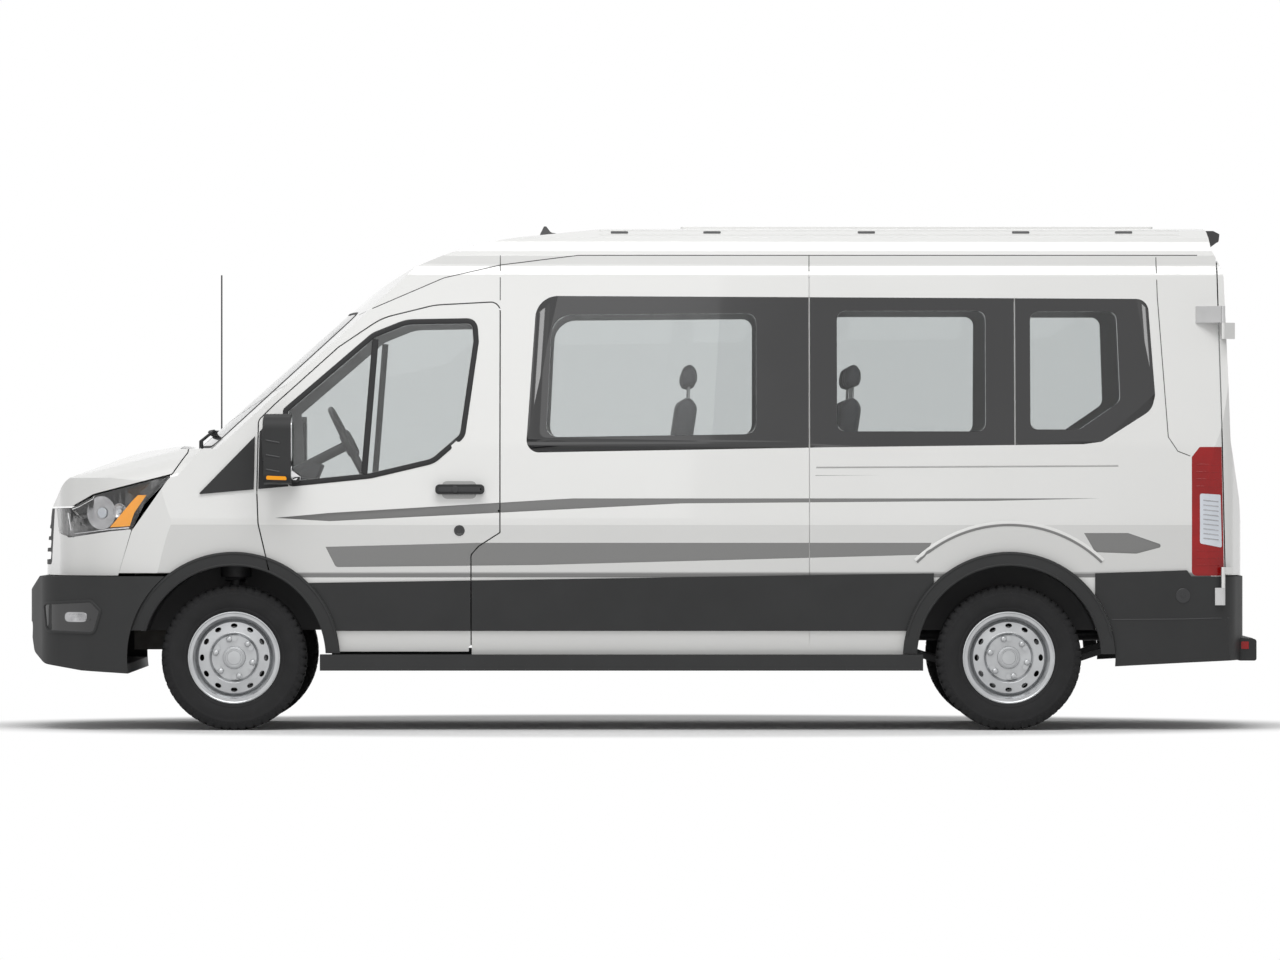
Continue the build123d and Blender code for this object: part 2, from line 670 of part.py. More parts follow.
def rear_bumper():
    """Black rear bumper: wrap-round corners, a rear wall and a step."""
    solid = envelope(-CLADDING_PROUD, 250) & across(REAR_BUMPER_VIEW)
    solid = solid - (envelope(0, 250) & box((0, -WIDE, 0), (REAR_SEAM_VIEW[-1][0] + SEAT_GAP, WIDE, 3000)))
    solid = solid - box((0, -900, 0), (2890, 900, BUMPER_TOP - BUMPER_WALL))
    solid = solid - disc(REAR_AXLE_X, TYRE_RADIUS, FLARE_RADIUS + 2, -WIDE, WIDE)
    return solid + across(STEP_VIEW, -860, 860)


def flares():
    """Arch flares, with the part that a front door carries apart from the rest."""
    ring = (flare_skin & FLARE_DISCS) - ARCHES
    ring = ring - box((-4000, -WIDE, 0), (FRONT_AXLE_X, WIDE, CLADDING_BOTTOM + 3))
    ring = ring - box((-4000, -WIDE, 0), (4000, WIDE, SILL_BOTTOM + 2))
    return ring - box((-4000, -900, 0), (4000, 900, 3000))


def cladding():
    """Lower side cladding between the arches."""
    strip = (cladding_skin & across(CLADDING_VIEW)) - box((-4000, -900, 0), (4000, 900, 3000))
    return strip - disc(FRONT_AXLE_X, TYRE_RADIUS, FLARE_RADIUS + SEAT_GAP, -WIDE, WIDE) - disc(
        REAR_AXLE_X, TYRE_RADIUS, FLARE_RADIUS + SEAT_GAP, -WIDE, WIDE
    )


def roof():
    """Raised roof with pressed ribs."""
    panel = cabin_shell & across(ROOF_SEAM + ((2950, 2700), (-1700, 2700)))
    panel = panel - along(SCREEN_VIEW, -2400, -1200)
    start, end, half = ROOF_RIB
    for y in ROOF_RIB_Y:
        plan = ((start, y - half, 20), (end, y - half, 20), (end, y + half, 20), (start, y + half, 20))
        rib = upright(plan, 2300, 2600)
        panel = panel + (cladding_skin & rib)
    for x in RACK_HOLE_X:
        for y in (-RACK_HOLE_Y, RACK_HOLE_Y):
            panel = panel - rod((x, y, 2300), (x, y, 2600), RACK_HOLE_RADIUS)
    return panel


def mirror(sign):
    """Door mirror: base patch, arm and head."""
    patch = cladding_skin & across(TRIM_PATCH_VIEW) & door_block(sign, GAP + DOOR_PATCH_INSET)
    arm = across(MIRROR_ARM_VIEW, *sorted((sign * 1000, sign * 1110))) - block
    head = along(tuple((sign * y, z, r) for y, z, r in MIRROR_FRONT_VIEW), *MIRROR_REACH)
    return patch + arm + head


def door_trim(sign):
    """Handle, cladding and flare that ride on a front door."""
    handle = across(HANDLE_VIEW, *sorted((sign * 1000, sign * 1064))) - block
    finger_room = sorted((sign * 1000, sign * 1048))
    handle = handle - box((-950, finger_room[0], 1100), (-800, finger_room[1], 1250))
    region = door_block(sign, GAP)
    return handle, strips & region, rings & region


def wheel():
    """Pressed steel wheel about the origin, its face outward along the side's y."""
    solid = turned(BARREL_ROWS) + turned(DISC_ROWS) + turned(ROTOR_ROWS)
    for index in range(VENT_COUNT):
        turn = Rot(0, 0, index * 360 / VENT_COUNT)
        vent = Pos(VENT_CIRCLE, 0, 40) * extrude(Ellipse(11, 16), amount=50)
        solid = solid - turn * vent
    for index in range(LUG_COUNT):
        turn = Rot(0, 0, (index + 0.5) * 360 / LUG_COUNT)
        solid = solid + turn * rod((LUG_CIRCLE, 0, 50), (LUG_CIRCLE, 0, 70), LUG_RADIUS)
    return solid


def turned(rows):
    """Solid of revolution about z from rows of radius and height."""
    return revolve(Plane.XZ * make_face(Polyline(*rows, close=True)), Axis.Z)


def at_wheel(shape, axle_x, sign):
    """Set a wheel part on its axle, its outer face turned outward."""
    return Pos(axle_x, sign * HALF_TRACK, TYRE_RADIUS) * Rot(-90 * sign, 0, 0) * shape


def knuckle(sign):
    """Steering knuckle: king pin, post, collar and spindle."""
    x, y = FRONT_AXLE_X, sign * KING_PIN_Y
    post = rod((x, y, 218), (x, y, 484), 30) + rod((x, y, 188), (x, y, 516), KING_PIN_RADIUS)
    collar = rod((x, y, TYRE_RADIUS), (x, sign * (HALF_TRACK - 58), TYRE_RADIUS), 55)
    spindle = rod((x, y, TYRE_RADIUS), (x, sign * (HALF_TRACK + 54), TYRE_RADIUS), SPINDLE_RADIUS)
    steering_arm = box((x + 10, min(y - 22, y + 22), 260), (x + 150, max(y - 22, y + 22), 285))
    return post + collar + spindle + steering_arm


def front_suspension():
    """Cross-member, lower arms, struts and their yokes."""
    x = FRONT_AXLE_X
    shape = box((x - 95, -RAIL_OUTER_Y, 300), (x + 95, RAIL_OUTER_Y, 380))
    for sign in (-1, 1):
        bore = KING_PIN_RADIUS + SPINDLE_CLEARANCE
        y = sign * KING_PIN_Y
        rise = sorted((sign * (RAIL_INNER_Y + 10), sign * RAIL_OUTER_Y))
        shape = shape + box((x - 60, rise[0], 300), (x + 60, rise[1], RAIL_BOTTOM))
        arm = ((x - 95, sign * 520), (x + 95, sign * 520), (x + 24, y + sign * 24), (x - 24, y + sign * 24))
        shape = shape + upright(arm, 300, 330)
        shape = shape + rod((x, y, 188), (x, y, 217.7), 26) + upright(arm, 188, 210)
        web = sorted((sign * 520, sign * 560))
        shape = shape + box((x - 95, web[0], 188), (x + 95, web[1], 330))
        reach = sorted((sign * STRUT_Y, y))
        shape = shape + box((x - 26, reach[0], YOKE_FOOT), (x + 26, reach[1], YOKE_TOP))
        shape = shape + rod((x, y, YOKE_FOOT), (x, y, YOKE_TOP), 26)
        shape = shape + rod((x, sign * STRUT_Y, YOKE_FOOT), (x, sign * STRUT_Y, 770), 26)
        spring_seat = rod((x, sign * STRUT_Y, 740), (x, sign * STRUT_Y, 830), 75)
        shape = shape + (spring_seat & disc(x, TYRE_RADIUS, ARCH_RADIUS - SEAT_GAP, -WIDE, WIDE))
        swing = sorted((sign * 562, sign * 900))
        shape = shape - box((x - 95, swing[0], 211), (x + 95, swing[1], 345))
        shape = shape - rod((x, y, 150), (x, y, 600), bore)
    return shape


def rear_axle():
    """Rear beam with its differential, spindles and leaf springs."""
    x, z = REAR_AXLE_X, TYRE_RADIUS
    shape = rod((x, -(HALF_TRACK - 58), z), (x, HALF_TRACK - 58, z), BEAM_RADIUS)
    shape = shape + rod((x, -(HALF_TRACK + 54), z), (x, HALF_TRACK + 54, z), SPINDLE_RADIUS)
    shape = shape + Pos(x, 0, z) * Sphere(125)
    for sign in (-1, 1):
        mid = sign * (RAIL_INNER_Y + RAIL_OUTER_Y) / 2
        shape = shape + across(LEAF_VIEW, mid - 35, mid + 35)
        for hanger_x in (1170, 2370):
            shape = shape + box((hanger_x, mid - 40, 405), (hanger_x + 40, mid + 40, RAIL_BOTTOM))
    return shape


def floor_pan():
    """Cabin floor with its wheel housings cut out, the toe board and the sill of the rear doors."""
    low, high = FLOOR_TOP - FLOOR_THICKNESS, FLOOR_TOP
    slab = box((FRONT_DOOR_REAR_X + 10, -WIDE, low), (REAR_SEAM_VIEW[-1][0], WIDE, high))
    sill = box((2740, -WIDE, low), (REAR_SEAM_VIEW[-1][0], WIDE, BUMPER_TOP))
    shape = floor_hollow & (slab + sill)
    shape = shape + box((-1780, -930, low), (FRONT_DOOR_REAR_X + 10, 930, high))
    shape = shape + across(TOE_VIEW, -880, 880)
    for axle_x, inner_y in HOUSINGS:
        for sign in (-1, 1):
            reach = sorted((sign * (inner_y - SEAT_GAP), sign * WIDE))
            shape = shape - disc(axle_x, TYRE_RADIUS, ARCH_RADIUS + LINER_WALL + SEAT_GAP, *reach)
    return shape


def wheel_liners():
    """Inner arches over the four wheels."""
    solids = []
    for axle_x, inner_y in HOUSINGS:
        for sign in (-1, 1):
            reach = sorted((sign * inner_y, sign * WIDE))
            hollow = sorted((sign * (inner_y + LINER_WALL), sign * WIDE))
            liner = disc(axle_x, TYRE_RADIUS, ARCH_RADIUS + LINER_WALL, *reach)
            liner = liner - disc(axle_x, TYRE_RADIUS, ARCH_RADIUS, *hollow)
            liner = liner & (nose_hollow if axle_x == FRONT_AXLE_X else cabin_hollow)
            liner = liner - box((-4000, -WIDE, 0), (4000, WIDE, RAIL_BOTTOM))
            if axle_x == FRONT_AXLE_X:
                liner = liner - rod((axle_x, sign * STRUT_Y, 600), (axle_x, sign * STRUT_Y, 1000), 60)
                beside_door = sorted((sign * 925, sign * WIDE))
                liner = liner - box((-1880, beside_door[0], 0), (0, beside_door[1], 3000))
            solids.append(liner)
    return solids


def chassis_rails():
    """Two long rails and the beam behind the front bumper."""
    beam = box((-3000, -620, RAIL_BOTTOM), (-2860, 620, RAIL_TOP + 30))
    beam = beam & bumper_space(BUMPER_WALL + SEAT_GAP)
    for sign in (-1, 1):
        reach = sorted((sign * RAIL_INNER_Y, sign * RAIL_OUTER_Y))
        beam = beam + box((-2880, reach[0], RAIL_BOTTOM), (2890, reach[1], RAIL_TOP))
    return beam


def running_board(sign):
    """Step below one sill, seated on the body side."""
    low_y, high_y = sorted((sign * BOARD_INNER_Y, sign * BOARD_OUTER_Y))
    return box((-1548, low_y, 289), (1369, high_y, SILL_BOTTOM - SEAT_GAP))


def exhaust():
    """Exhaust pipe with its silencer, hung from the right-hand rail."""
    y, z = EXHAUST_Y, EXHAUST_Z
    shape = rod((-1500, y, z), (2640, y, z), 30) + rod((-100, y, z), (500, y, z), 85)
    for x in (-1150, 1000, 2300):
        shape = shape + box((x - 12, y - 5, z), (x + 12, y + 5, z + 70))
        shape = shape + box((x - 12, RAIL_OUTER_Y + SEAT_GAP, z + 60), (x + 12, y + 5, z + 70))
    return shape


def seats(rows):
    """Seats on their pedestals, one solid each."""
    solids = []
    for x, places in rows:
        for y in places:
            outline = tuple((x + u, FLOOR_TOP + v, r) for u, v, r in SEAT_VIEW)
            seat = across(outline, y - SEAT_WIDTH / 2, y + SEAT_WIDTH / 2)
            seat = seat + box((x - 480, y - 140, FLOOR_TOP), (x - 150, y + 140, FLOOR_TOP + 345))
            solids.append(seat)
    return solids


def steering(part):
    """Steering wheel, or the column behind it."""
    tilt = radians(STEERING_TILT)
    centre = Vector(*STEERING_CENTRE)
    axis = Vector(cos(tilt), 0, sin(tilt))
    plane = Plane(origin=centre, z_dir=axis, x_dir=(0, 1, 0))
    if part == "column":
        start, end = centre - axis * 25.3, centre - axis * 330
        return rod(tuple(end), tuple(start), 24)
    spokes = Box(2 * STEERING_RADIUS - 10, 40, 14)
    spokes = spokes + Pos(0, -STEERING_RADIUS / 2, 0) * Box(40, STEERING_RADIUS, 14)
    return plane * (Torus(STEERING_RADIUS, 15) + spokes + Cylinder(55, 50))


def dashboard():
    """Dashboard with the steering column in it."""
    return across(DASH_VIEW, -900, 900) + steering("column")


def cowl_and_wipers():
    """Black panel below the windscreen and the two parked wipers."""
    cowl = nose_shell & box((HOOD_HINGE_X + 3, -827, 1250), (-2050, 827, COWL_Z))
    slope = radians(SCREEN_SLOPE)
    wipers = []
    for start_y, end_y in WIPERS:
        ends = []
        for y in (start_y, end_y):
            z = WIPER_Z
            foot = SCREEN_FOOT_X + SCREEN_TRIM + SCREEN_CURVE_RADIUS - sqrt(SCREEN_CURVE_RADIUS**2 - y**2)
            x = foot + (z - SCREEN_FOOT_Z) / tan(slope)
            ends.append((x - 32 * sin(slope), y, z + 32 * cos(slope)))
            if y == start_y:
                post_x = foot + (COWL_Z - SCREEN_FOOT_Z) / tan(slope) - 9
        post_top = (post_x, start_y, COWL_Z + 40)
        wiper = rod((post_x, start_y, COWL_Z + SEAT_GAP), post_top, 6) + Pos(*post_top) * Sphere(6)
        wiper = wiper + rod(post_top, ends[0], 6) + rod(ends[0], ends[1], 8) + Pos(*ends[0]) * Sphere(8)
        wipers.append(wiper)
    return cowl, wipers


def roof_fittings():
    """Shark-fin aerial, mast aerial and the high rear lamp housing."""
    fin = across(FIN_VIEW, -16, 16) - block
    mast = rod((-2102, 925, COWL_Z + SEAT_GAP), (-2102, 925, 2240), 4)
    mast = mast + rod((-2102, 925, COWL_Z + SEAT_GAP), (-2102, 925, COWL_Z + 25), 11)
    housing = across(HIGH_LAMP_VIEW, -150, 150) - block
    return fin, mast, housing


def panel_pins():
    """Pins that carry the front doors and the hood, set in their shut lines."""
    pins = []
    for sign in (-1, 1):
        for x, y, z in FRONT_DOOR_PINS:
            top = (x, sign * y, z + FRONT_DOOR_PIN_LENGTH)
            pins.append(rod((x, sign * y, z), top, FRONT_DOOR_PIN_RADIUS))
        ends = [(HOOD_PIN_X, sign * y, HOOD_PIN_Z) for y in (450, 520)]
        pins.append(rod(*ends, 5 - SEAT_GAP))
    return pins


def hinge_rod(sign, span, radius):
    """Upright round bar on a rear door's turning line."""
    x, y = REAR_DOOR_HINGE_X, sign * REAR_DOOR_HINGE_Y
    return rod((x, y, span[0]), (x, y, span[1]), radius)


def hinge_leaf(sign, rows, span):
    """Leaf of a rear door's hinge, drawn from its turning line."""
    x, y = REAR_DOOR_HINGE_X, REAR_DOOR_HINGE_Y
    return upright(tuple((x + u, sign * (y - v), r) for u, v, r in rows), *span)


def body_hinges(sign):
    """Body halves of one rear door's hinges, with their pins."""
    solids = []
    for body_span, door_span, leaf_span, body_rows, door_rows in REAR_HINGES:
        leaf = hinge_leaf(sign, body_rows, body_span) - block - back_bumper
        whole = (min(body_span + door_span), max(body_span + door_span))
        pin = hinge_rod(sign, whole, HINGE_PIN_RADIUS)
        solids.append(leaf + hinge_rod(sign, body_span, HINGE_KNUCKLE_RADIUS) + pin)
    return solids


def with_hinges(door, sign):
    """Rear door joined to its halves of the hinges."""
    for body_span, door_span, leaf_span, body_rows, door_rows in REAR_HINGES:
        half = hinge_leaf(sign, door_rows, leaf_span) + hinge_rod(sign, door_span, HINGE_KNUCKLE_RADIUS)
        door = door + half - hinge_rod(sign, (500, 2100), HINGE_PIN_RADIUS + SPINDLE_CLEARANCE)
    return door


back_bumper = rear_bumper()
doors = {sign: front_door(sign) for sign in (-1, 1)}
rear_doors = {sign: rear_door(sign) for sign in (-1, 1)}
door_zones = door_block(-1, -GAP) + door_block(1, -GAP)
strips = cladding()
rings = flares()
road_wheel = wheel()
road_tyre = turned(TYRE_ROWS)
cowl, wipers = cowl_and_wipers()

save("floor_pan", floor_pan())
save("chassis_rails", chassis_rails())
save("wheel_liners", *wheel_liners())
save("side_left", side_panel(-1))
save("side_right", side_panel(1))
save("sliding_door", sliding_door())
save("side_glass", glass_band(-1), glass_band(1))
save("roof", roof())
save("windscreen", glass_skin & along(SCREEN_VIEW, HOOD_HINGE_X + 3, -1200))
save("fenders", fender(-1), fender(1))
save("hood", hood())
save("front_fascia", fascia())
save("grille", grille())
save("headlamps", *(nose_shell & nose_lamp(sign) for sign in (-1, 1)))
save("front_bumper", front_bumper())
save("rear_bumper", back_bumper)
lamps = [across(TAIL_LAMP_VIEW, *reach) for reach in ((-WIDE, -700), (700, WIDE))]
save("tail_lamps", *(cabin_shell & lamp for lamp in lamps))
trim_patch = (cladding_skin & across(TRIM_PATCH_VIEW)) - box((-4000, -900, 0), (4000, 900, 3000))
for sign in (-1, 1):
    trim_patch = trim_patch - door_block(sign, -GAP - WING_PATCH_INSET)
save("side_cladding", strips - door_zones, rings - door_zones, trim_patch)
for name, sign in SIDES:
    save(f"front_door_{name}", doors[sign][0])
    save(f"door_glass_{name}", doors[sign][1])
    save(f"door_trim_{name}", *door_trim(sign))
    save(f"mirror_{name}", mirror(sign))
    save(f"rear_door_{name}", with_hinges(rear_doors[sign][0], sign))
    save(f"rear_glass_{name}", rear_doors[sign][1])
    save(f"knuckle_{name}", knuckle(sign))
    for axle, axle_x in AXLES:
        save(f"{axle}_wheel_{name}", at_wheel(road_wheel, axle_x, sign))
        save(f"{axle}_tyre_{name}", at_wheel(road_tyre, axle_x, sign))
save("running_boards", *(running_board(sign) for name, sign in SIDES))
save("front_suspension", front_suspension())
save("rear_axle", rear_axle())
save("engine", box(*ENGINE_BLOCK))
save("tank_and_exhaust", box(*FUEL_TANK), exhaust())
save("seats", *seats(SEAT_ROWS))
save("dashboard", dashboard())
save("steering_wheel", steering("wheel"))
save("cowl_and_wipers", cowl, *wipers)
save("roof_fittings", *roof_fittings())
save("panel_hinges", *panel_pins(), *body_hinges(-1), *body_hinges(1))
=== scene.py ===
"""Looks of a mid-roof passenger van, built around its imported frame.

Tables are in millimetres: X runs to the rear, Y to the van's right and Z up.
"""

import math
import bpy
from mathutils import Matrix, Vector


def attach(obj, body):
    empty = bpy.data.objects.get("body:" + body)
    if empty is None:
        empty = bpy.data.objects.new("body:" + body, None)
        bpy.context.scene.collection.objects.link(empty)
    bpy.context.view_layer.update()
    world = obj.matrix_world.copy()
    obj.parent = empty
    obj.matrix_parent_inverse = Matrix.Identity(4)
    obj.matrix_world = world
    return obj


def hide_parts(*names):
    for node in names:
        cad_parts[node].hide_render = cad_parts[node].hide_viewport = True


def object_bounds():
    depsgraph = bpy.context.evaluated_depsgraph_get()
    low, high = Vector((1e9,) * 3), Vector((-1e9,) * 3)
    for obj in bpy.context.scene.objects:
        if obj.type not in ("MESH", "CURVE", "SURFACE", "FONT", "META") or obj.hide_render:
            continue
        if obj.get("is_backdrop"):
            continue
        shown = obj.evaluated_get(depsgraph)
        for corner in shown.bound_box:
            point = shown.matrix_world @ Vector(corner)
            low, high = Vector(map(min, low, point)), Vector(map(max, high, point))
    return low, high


bl_info = {
    "name": "Passenger van looks",
    "version": (1, 0, 0),
    "blender": (4, 5, 0),
    "location": "3D View > Sidebar > Van",
    "description": "Finishes, glass, lamps, tyres, seats and trim of a passenger van",
    "category": "Object",
}

import bmesh
import bpy
from mathutils import Matrix, Vector
from mathutils.bvhtree import BVHTree
from mathutils.geometry import delaunay_2d_cdt

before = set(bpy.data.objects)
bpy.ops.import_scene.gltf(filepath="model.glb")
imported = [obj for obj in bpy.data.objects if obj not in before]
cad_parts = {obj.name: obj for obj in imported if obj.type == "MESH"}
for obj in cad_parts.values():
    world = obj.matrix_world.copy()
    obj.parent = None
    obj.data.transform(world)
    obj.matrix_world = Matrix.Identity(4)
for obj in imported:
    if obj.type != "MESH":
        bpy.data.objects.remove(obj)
CAD_BOX = [list(corner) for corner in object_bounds()]

MM = 0.001
SIDES = (("left", -1), ("right", 1))
AXLES = (("front", -1965), ("rear", 1785))
TYRE_RADIUS = 351
HALF_TRACK = 867
SMOOTH_ANGLE = math.radians(38)

PAINTED = (
    "side_left", "side_right", "sliding_door", "roof", "fenders", "hood", "front_fascia",
    "front_door_left", "front_door_right", "rear_door_left", "rear_door_right",
)
GRAINED = (
    "grille", "front_bumper", "rear_bumper", "side_cladding", "mirror_left", "mirror_right",
    "door_trim_left", "door_trim_right", "running_boards", "cowl_and_wipers",
)
CHASSIS = ("chassis_rails", "wheel_liners", "front_suspension", "rear_axle", "tank_and_exhaust")

PANES = (
    ((-455, 1418, 60), (562, 1433, 60), (562, 2018, 50), (-425, 2010, 110)),
    ((953, 1446, 45), (1672, 1446, 45), (1672, 2029, 45), (953, 2029, 45)),
    ((1888, 1455, 40), (2124, 1455, 40), (2323, 1592, 50), (2306, 2026, 45), (1888, 2026, 45)),
)
SCREEN_PANE = ((800, 1428, 70), (690, 1972, 90), (-690, 1972, 90), (-800, 1428, 70))
REAR_PANE = ((150, 1460, 50), (812, 1460, 70), (752, 2050, 70), (150, 2050, 50))
DOOR_WINDOW = (
    (-1715, 1547, 20), (-1457, 1768, 60), (-1290, 1912, 120), (-1130, 1976, 200), (-800, 1982, 45),
    (-793, 1880, 40), (-858, 1425, 60), (-1000, 1302, 120), (-1302, 1231, 200), (-1693, 1191, 20),
)


class VanSizes(bpy.types.PropertyGroup):
    """Sizes that a user may change"""

    tread_blocks: bpy.props.IntProperty(
        name="Tread blocks", description="Blocks round the shoulder of a tyre", default=54, min=20, max=90
    )
    tread_depth: bpy.props.FloatProperty(
        name="Tread depth", description="Depth of the grooves of a tyre", default=0.008,
        min=0.002, max=0.015, unit="LENGTH"
    )
    seal_width: bpy.props.FloatProperty(
        name="Seal width", description="Width of the rubber round a door window", default=0.026,
        min=0.01, max=0.05, unit="LENGTH"
    )
    seam_width: bpy.props.FloatProperty(
        name="Seam width", description="Width of the joints drawn on the body", default=0.004,
        min=0.001, max=0.01, unit="LENGTH"
    )
    key_power: bpy.props.FloatProperty(
        name="Key light", description="Power of the lamp above the van", default=600, min=0, unit="POWER"
    )
    fill_power: bpy.props.FloatProperty(
        name="Fill light", description="Power of the lamp beside the camera", default=60, min=0, unit="POWER"
    )


class VanColours(bpy.types.PropertyGroup):
    """Colours that a user may change"""

    paint: bpy.props.FloatVectorProperty(
        name="Paint", description="Body colour", subtype="COLOR", size=3,
        default=(0.80, 0.80, 0.785), min=0, max=1
    )
    plastic: bpy.props.FloatVectorProperty(
        name="Plastic", description="Bumpers and cladding", subtype="COLOR", size=3,
        default=(0.03, 0.0305, 0.031), min=0, max=1
    )
    fabric: bpy.props.FloatVectorProperty(
        name="Seat fabric", description="Seat covers", subtype="COLOR", size=3,
        default=(0.11, 0.11, 0.12), min=0, max=1
    )
    glass: bpy.props.FloatVectorProperty(
        name="Glass", description="Tint of the panes", subtype="COLOR", size=3,
        default=(0.70, 0.72, 0.72), min=0, max=1
    )


# Materials


def node(tree, kind, **values):
    """Shader or geometry node with its inputs and settings set by name."""
    made = tree.nodes.new(kind)
    for name, value in values.items():
        label = name.replace("_", " ").title()
        if label in made.inputs:
            made.inputs[label].default_value = value
        else:
            setattr(made, name, value)
    return made


def shaded(name, colour, roughness, **sockets):
    """New material with the even values set on its shader."""
    mat = bpy.data.materials.new(name)
    mat.use_nodes = True
    shader = mat.node_tree.nodes["Principled BSDF"]
    shader.inputs["Base Color"].default_value = (*colour, 1)
    shader.inputs["Roughness"].default_value = roughness
    for key, value in sockets.items():
        shader.inputs[key.replace("_", " ").title().replace("Ior", "IOR")].default_value = value
    return mat, mat.node_tree, shader


def uneven(tree, shader, colour, other, scale, roughness, spread, grain=0, height=0.0, stretch=(1, 1, 1)):
    """Slow change of colour and gloss over a finish, and a fine grain in its surface."""
    coords = tree.nodes.new("ShaderNodeTexCoord")
    place = tree.nodes.new("ShaderNodeMapping")
    place.inputs["Scale"].default_value = stretch
    tree.links.new(coords.outputs["Object"], place.inputs["Vector"])
    slow = node(tree, "ShaderNodeTexNoise", scale=scale, detail=4.0)
    tree.links.new(place.outputs["Vector"], slow.inputs["Vector"])
    ramp = tree.nodes.new("ShaderNodeValToRGB")
    ramp.color_ramp.elements[0].position = 0.35
    ramp.color_ramp.elements[1].position = 0.7
    ramp.color_ramp.elements[0].color = (*other, 1)
    ramp.color_ramp.elements[1].color = (*colour, 1)
    tree.links.new(slow.outputs["Fac"], ramp.inputs["Fac"])
    tree.links.new(ramp.outputs["Color"], shader.inputs["Base Color"])
    gloss = tree.nodes.new("ShaderNodeMapRange")
    gloss.inputs["To Min"].default_value = roughness - spread
    gloss.inputs["To Max"].default_value = roughness + spread
    tree.links.new(slow.outputs["Fac"], gloss.inputs["Value"])
    tree.links.new(gloss.outputs["Result"], shader.inputs["Roughness"])
    if grain:
        fine = node(tree, "ShaderNodeTexNoise", scale=grain, detail=3.0)
        tree.links.new(place.outputs["Vector"], fine.inputs["Vector"])
        bump = node(tree, "ShaderNodeBump", strength=0.5, distance=height)
        tree.links.new(fine.outputs["Fac"], bump.inputs["Height"])
        tree.links.new(bump.outputs["Normal"], shader.inputs["Normal"])
    return ramp, slow, coords


def plain_finish(name, colour, roughness, scale=3, spread=0.06, darker=0.86, grain=0, height=0.0,
                 stretch=(1, 1, 1), **sockets):
    """Finish of one colour with its natural unevenness."""
    mat, tree, shader = shaded(name, colour, roughness, **sockets)
    other = tuple(c * darker for c in colour)
    uneven(tree, shader, colour, other, scale, roughness, spread, grain, height, stretch)
    return mat


def blended(tree, first, second, share):
    """Socket of a colour mixed from two by a share."""
    mix = node(tree, "ShaderNodeMix", data_type="RGBA")
    tree.links.new(share, mix.inputs[0])
    for source, socket in ((first, 6), (second, 7)):
        if isinstance(source, tuple):
            mix.inputs[socket].default_value = (*source, 1)
        else:
            tree.links.new(source, mix.inputs[socket])
    return mix.outputs[2]


def reckoned(tree, operation, first, second=None):
    """Socket of a sum; each side is a number or another socket."""
    step = node(tree, "ShaderNodeMath", operation=operation)
    for index, value in ((0, first), (1, second)):
        if isinstance(value, (int, float)):
            step.inputs[index].default_value = value
        elif value is not None:
            tree.links.new(value, step.inputs[index])
    return step.outputs["Value"]


def paint_finish(colour):
    """Clear-coated paint with painted shade: darker grey where a flank leans down at the waist, with a lining
    on its inner face.
    """
    mat, tree, shader = shaded("body_paint", colour, 0.3, coat_weight=1.0, coat_roughness=0.04)
    dusty = tuple(c * 0.975 for c in colour)
    ramp, _, coords = uneven(tree, shader, colour, dusty, 1.3, 0.3, 0.05, 900, 0.00002)
    way = tree.nodes.new("ShaderNodeSeparateXYZ")
    tree.links.new(coords.outputs["Normal"], way.inputs["Vector"])
    spot = tree.nodes.new("ShaderNodeSeparateXYZ")
    tree.links.new(coords.outputs["Object"], spot.inputs["Vector"])
    # Painted shade: on flanks between 0.74 and 1.37 m that lean down, the paint falls towards 0.22 of its
    # colour.
    lean = node(tree, "ShaderNodeMapRange", from_min=-0.03, from_max=-0.085)
    tree.links.new(way.outputs["Z"], lean.inputs["Value"])
    flank = reckoned(tree, "GREATER_THAN", reckoned(tree, "ABSOLUTE", way.outputs["Y"]), 0.8)
    waist = reckoned(tree, "MULTIPLY", reckoned(tree, "GREATER_THAN", spot.outputs["Z"], 0.74),
                     reckoned(tree, "LESS_THAN", spot.outputs["Z"], 1.37))
    share = reckoned(tree, "MULTIPLY", reckoned(tree, "MULTIPLY", flank, waist), lean.outputs["Result"])
    painted_band_shade = blended(tree, ramp.outputs["Color"], tuple(c * 0.22 for c in colour), share)
    inner = node(tree, "ShaderNodeMapping")
    inner.inputs["Location"].default_value = (0, 0, -1.2)
    inner.inputs["Scale"].default_value = (0.4, 1, 1)
    tree.links.new(coords.outputs["Object"], inner.inputs["Vector"])
    facing = node(tree, "ShaderNodeVectorMath", operation="DOT_PRODUCT")
    tree.links.new(inner.outputs["Vector"], facing.inputs[0])
    tree.links.new(coords.outputs["Normal"], facing.inputs[1])
    hidden = reckoned(tree, "LESS_THAN", facing.outputs["Value"], -0.05)
    tree.links.new(blended(tree, painted_band_shade, (0.3, 0.3, 0.3), hidden), shader.inputs["Base Color"])
    return mat


def woven_finish(name, colour):
    """Seat cloth: a fine square weave with flecks."""
    mat, tree, shader = shaded(name, colour, 0.9, sheen_weight=0.35, sheen_roughness=0.5)
    coords = uneven(tree, shader, colour, tuple(c * 0.7 for c in colour), 60, 0.88, 0.06)[2]
    across = node(tree, "ShaderNodeTexWave", scale=420.0, bands_direction="X")
    down = node(tree, "ShaderNodeTexWave", scale=420.0, bands_direction="Z")
    weave = node(tree, "ShaderNodeMath", operation="MULTIPLY")
    for wave, socket in ((across, 0), (down, 1)):
        tree.links.new(coords.outputs["Object"], wave.inputs["Vector"])
        tree.links.new(wave.outputs["Fac"], weave.inputs[socket])
    bump = node(tree, "ShaderNodeBump", strength=0.4, distance=0.0004)
    tree.links.new(weave.outputs["Value"], bump.inputs["Height"])
    tree.links.new(bump.outputs["Normal"], shader.inputs["Normal"])
    return mat


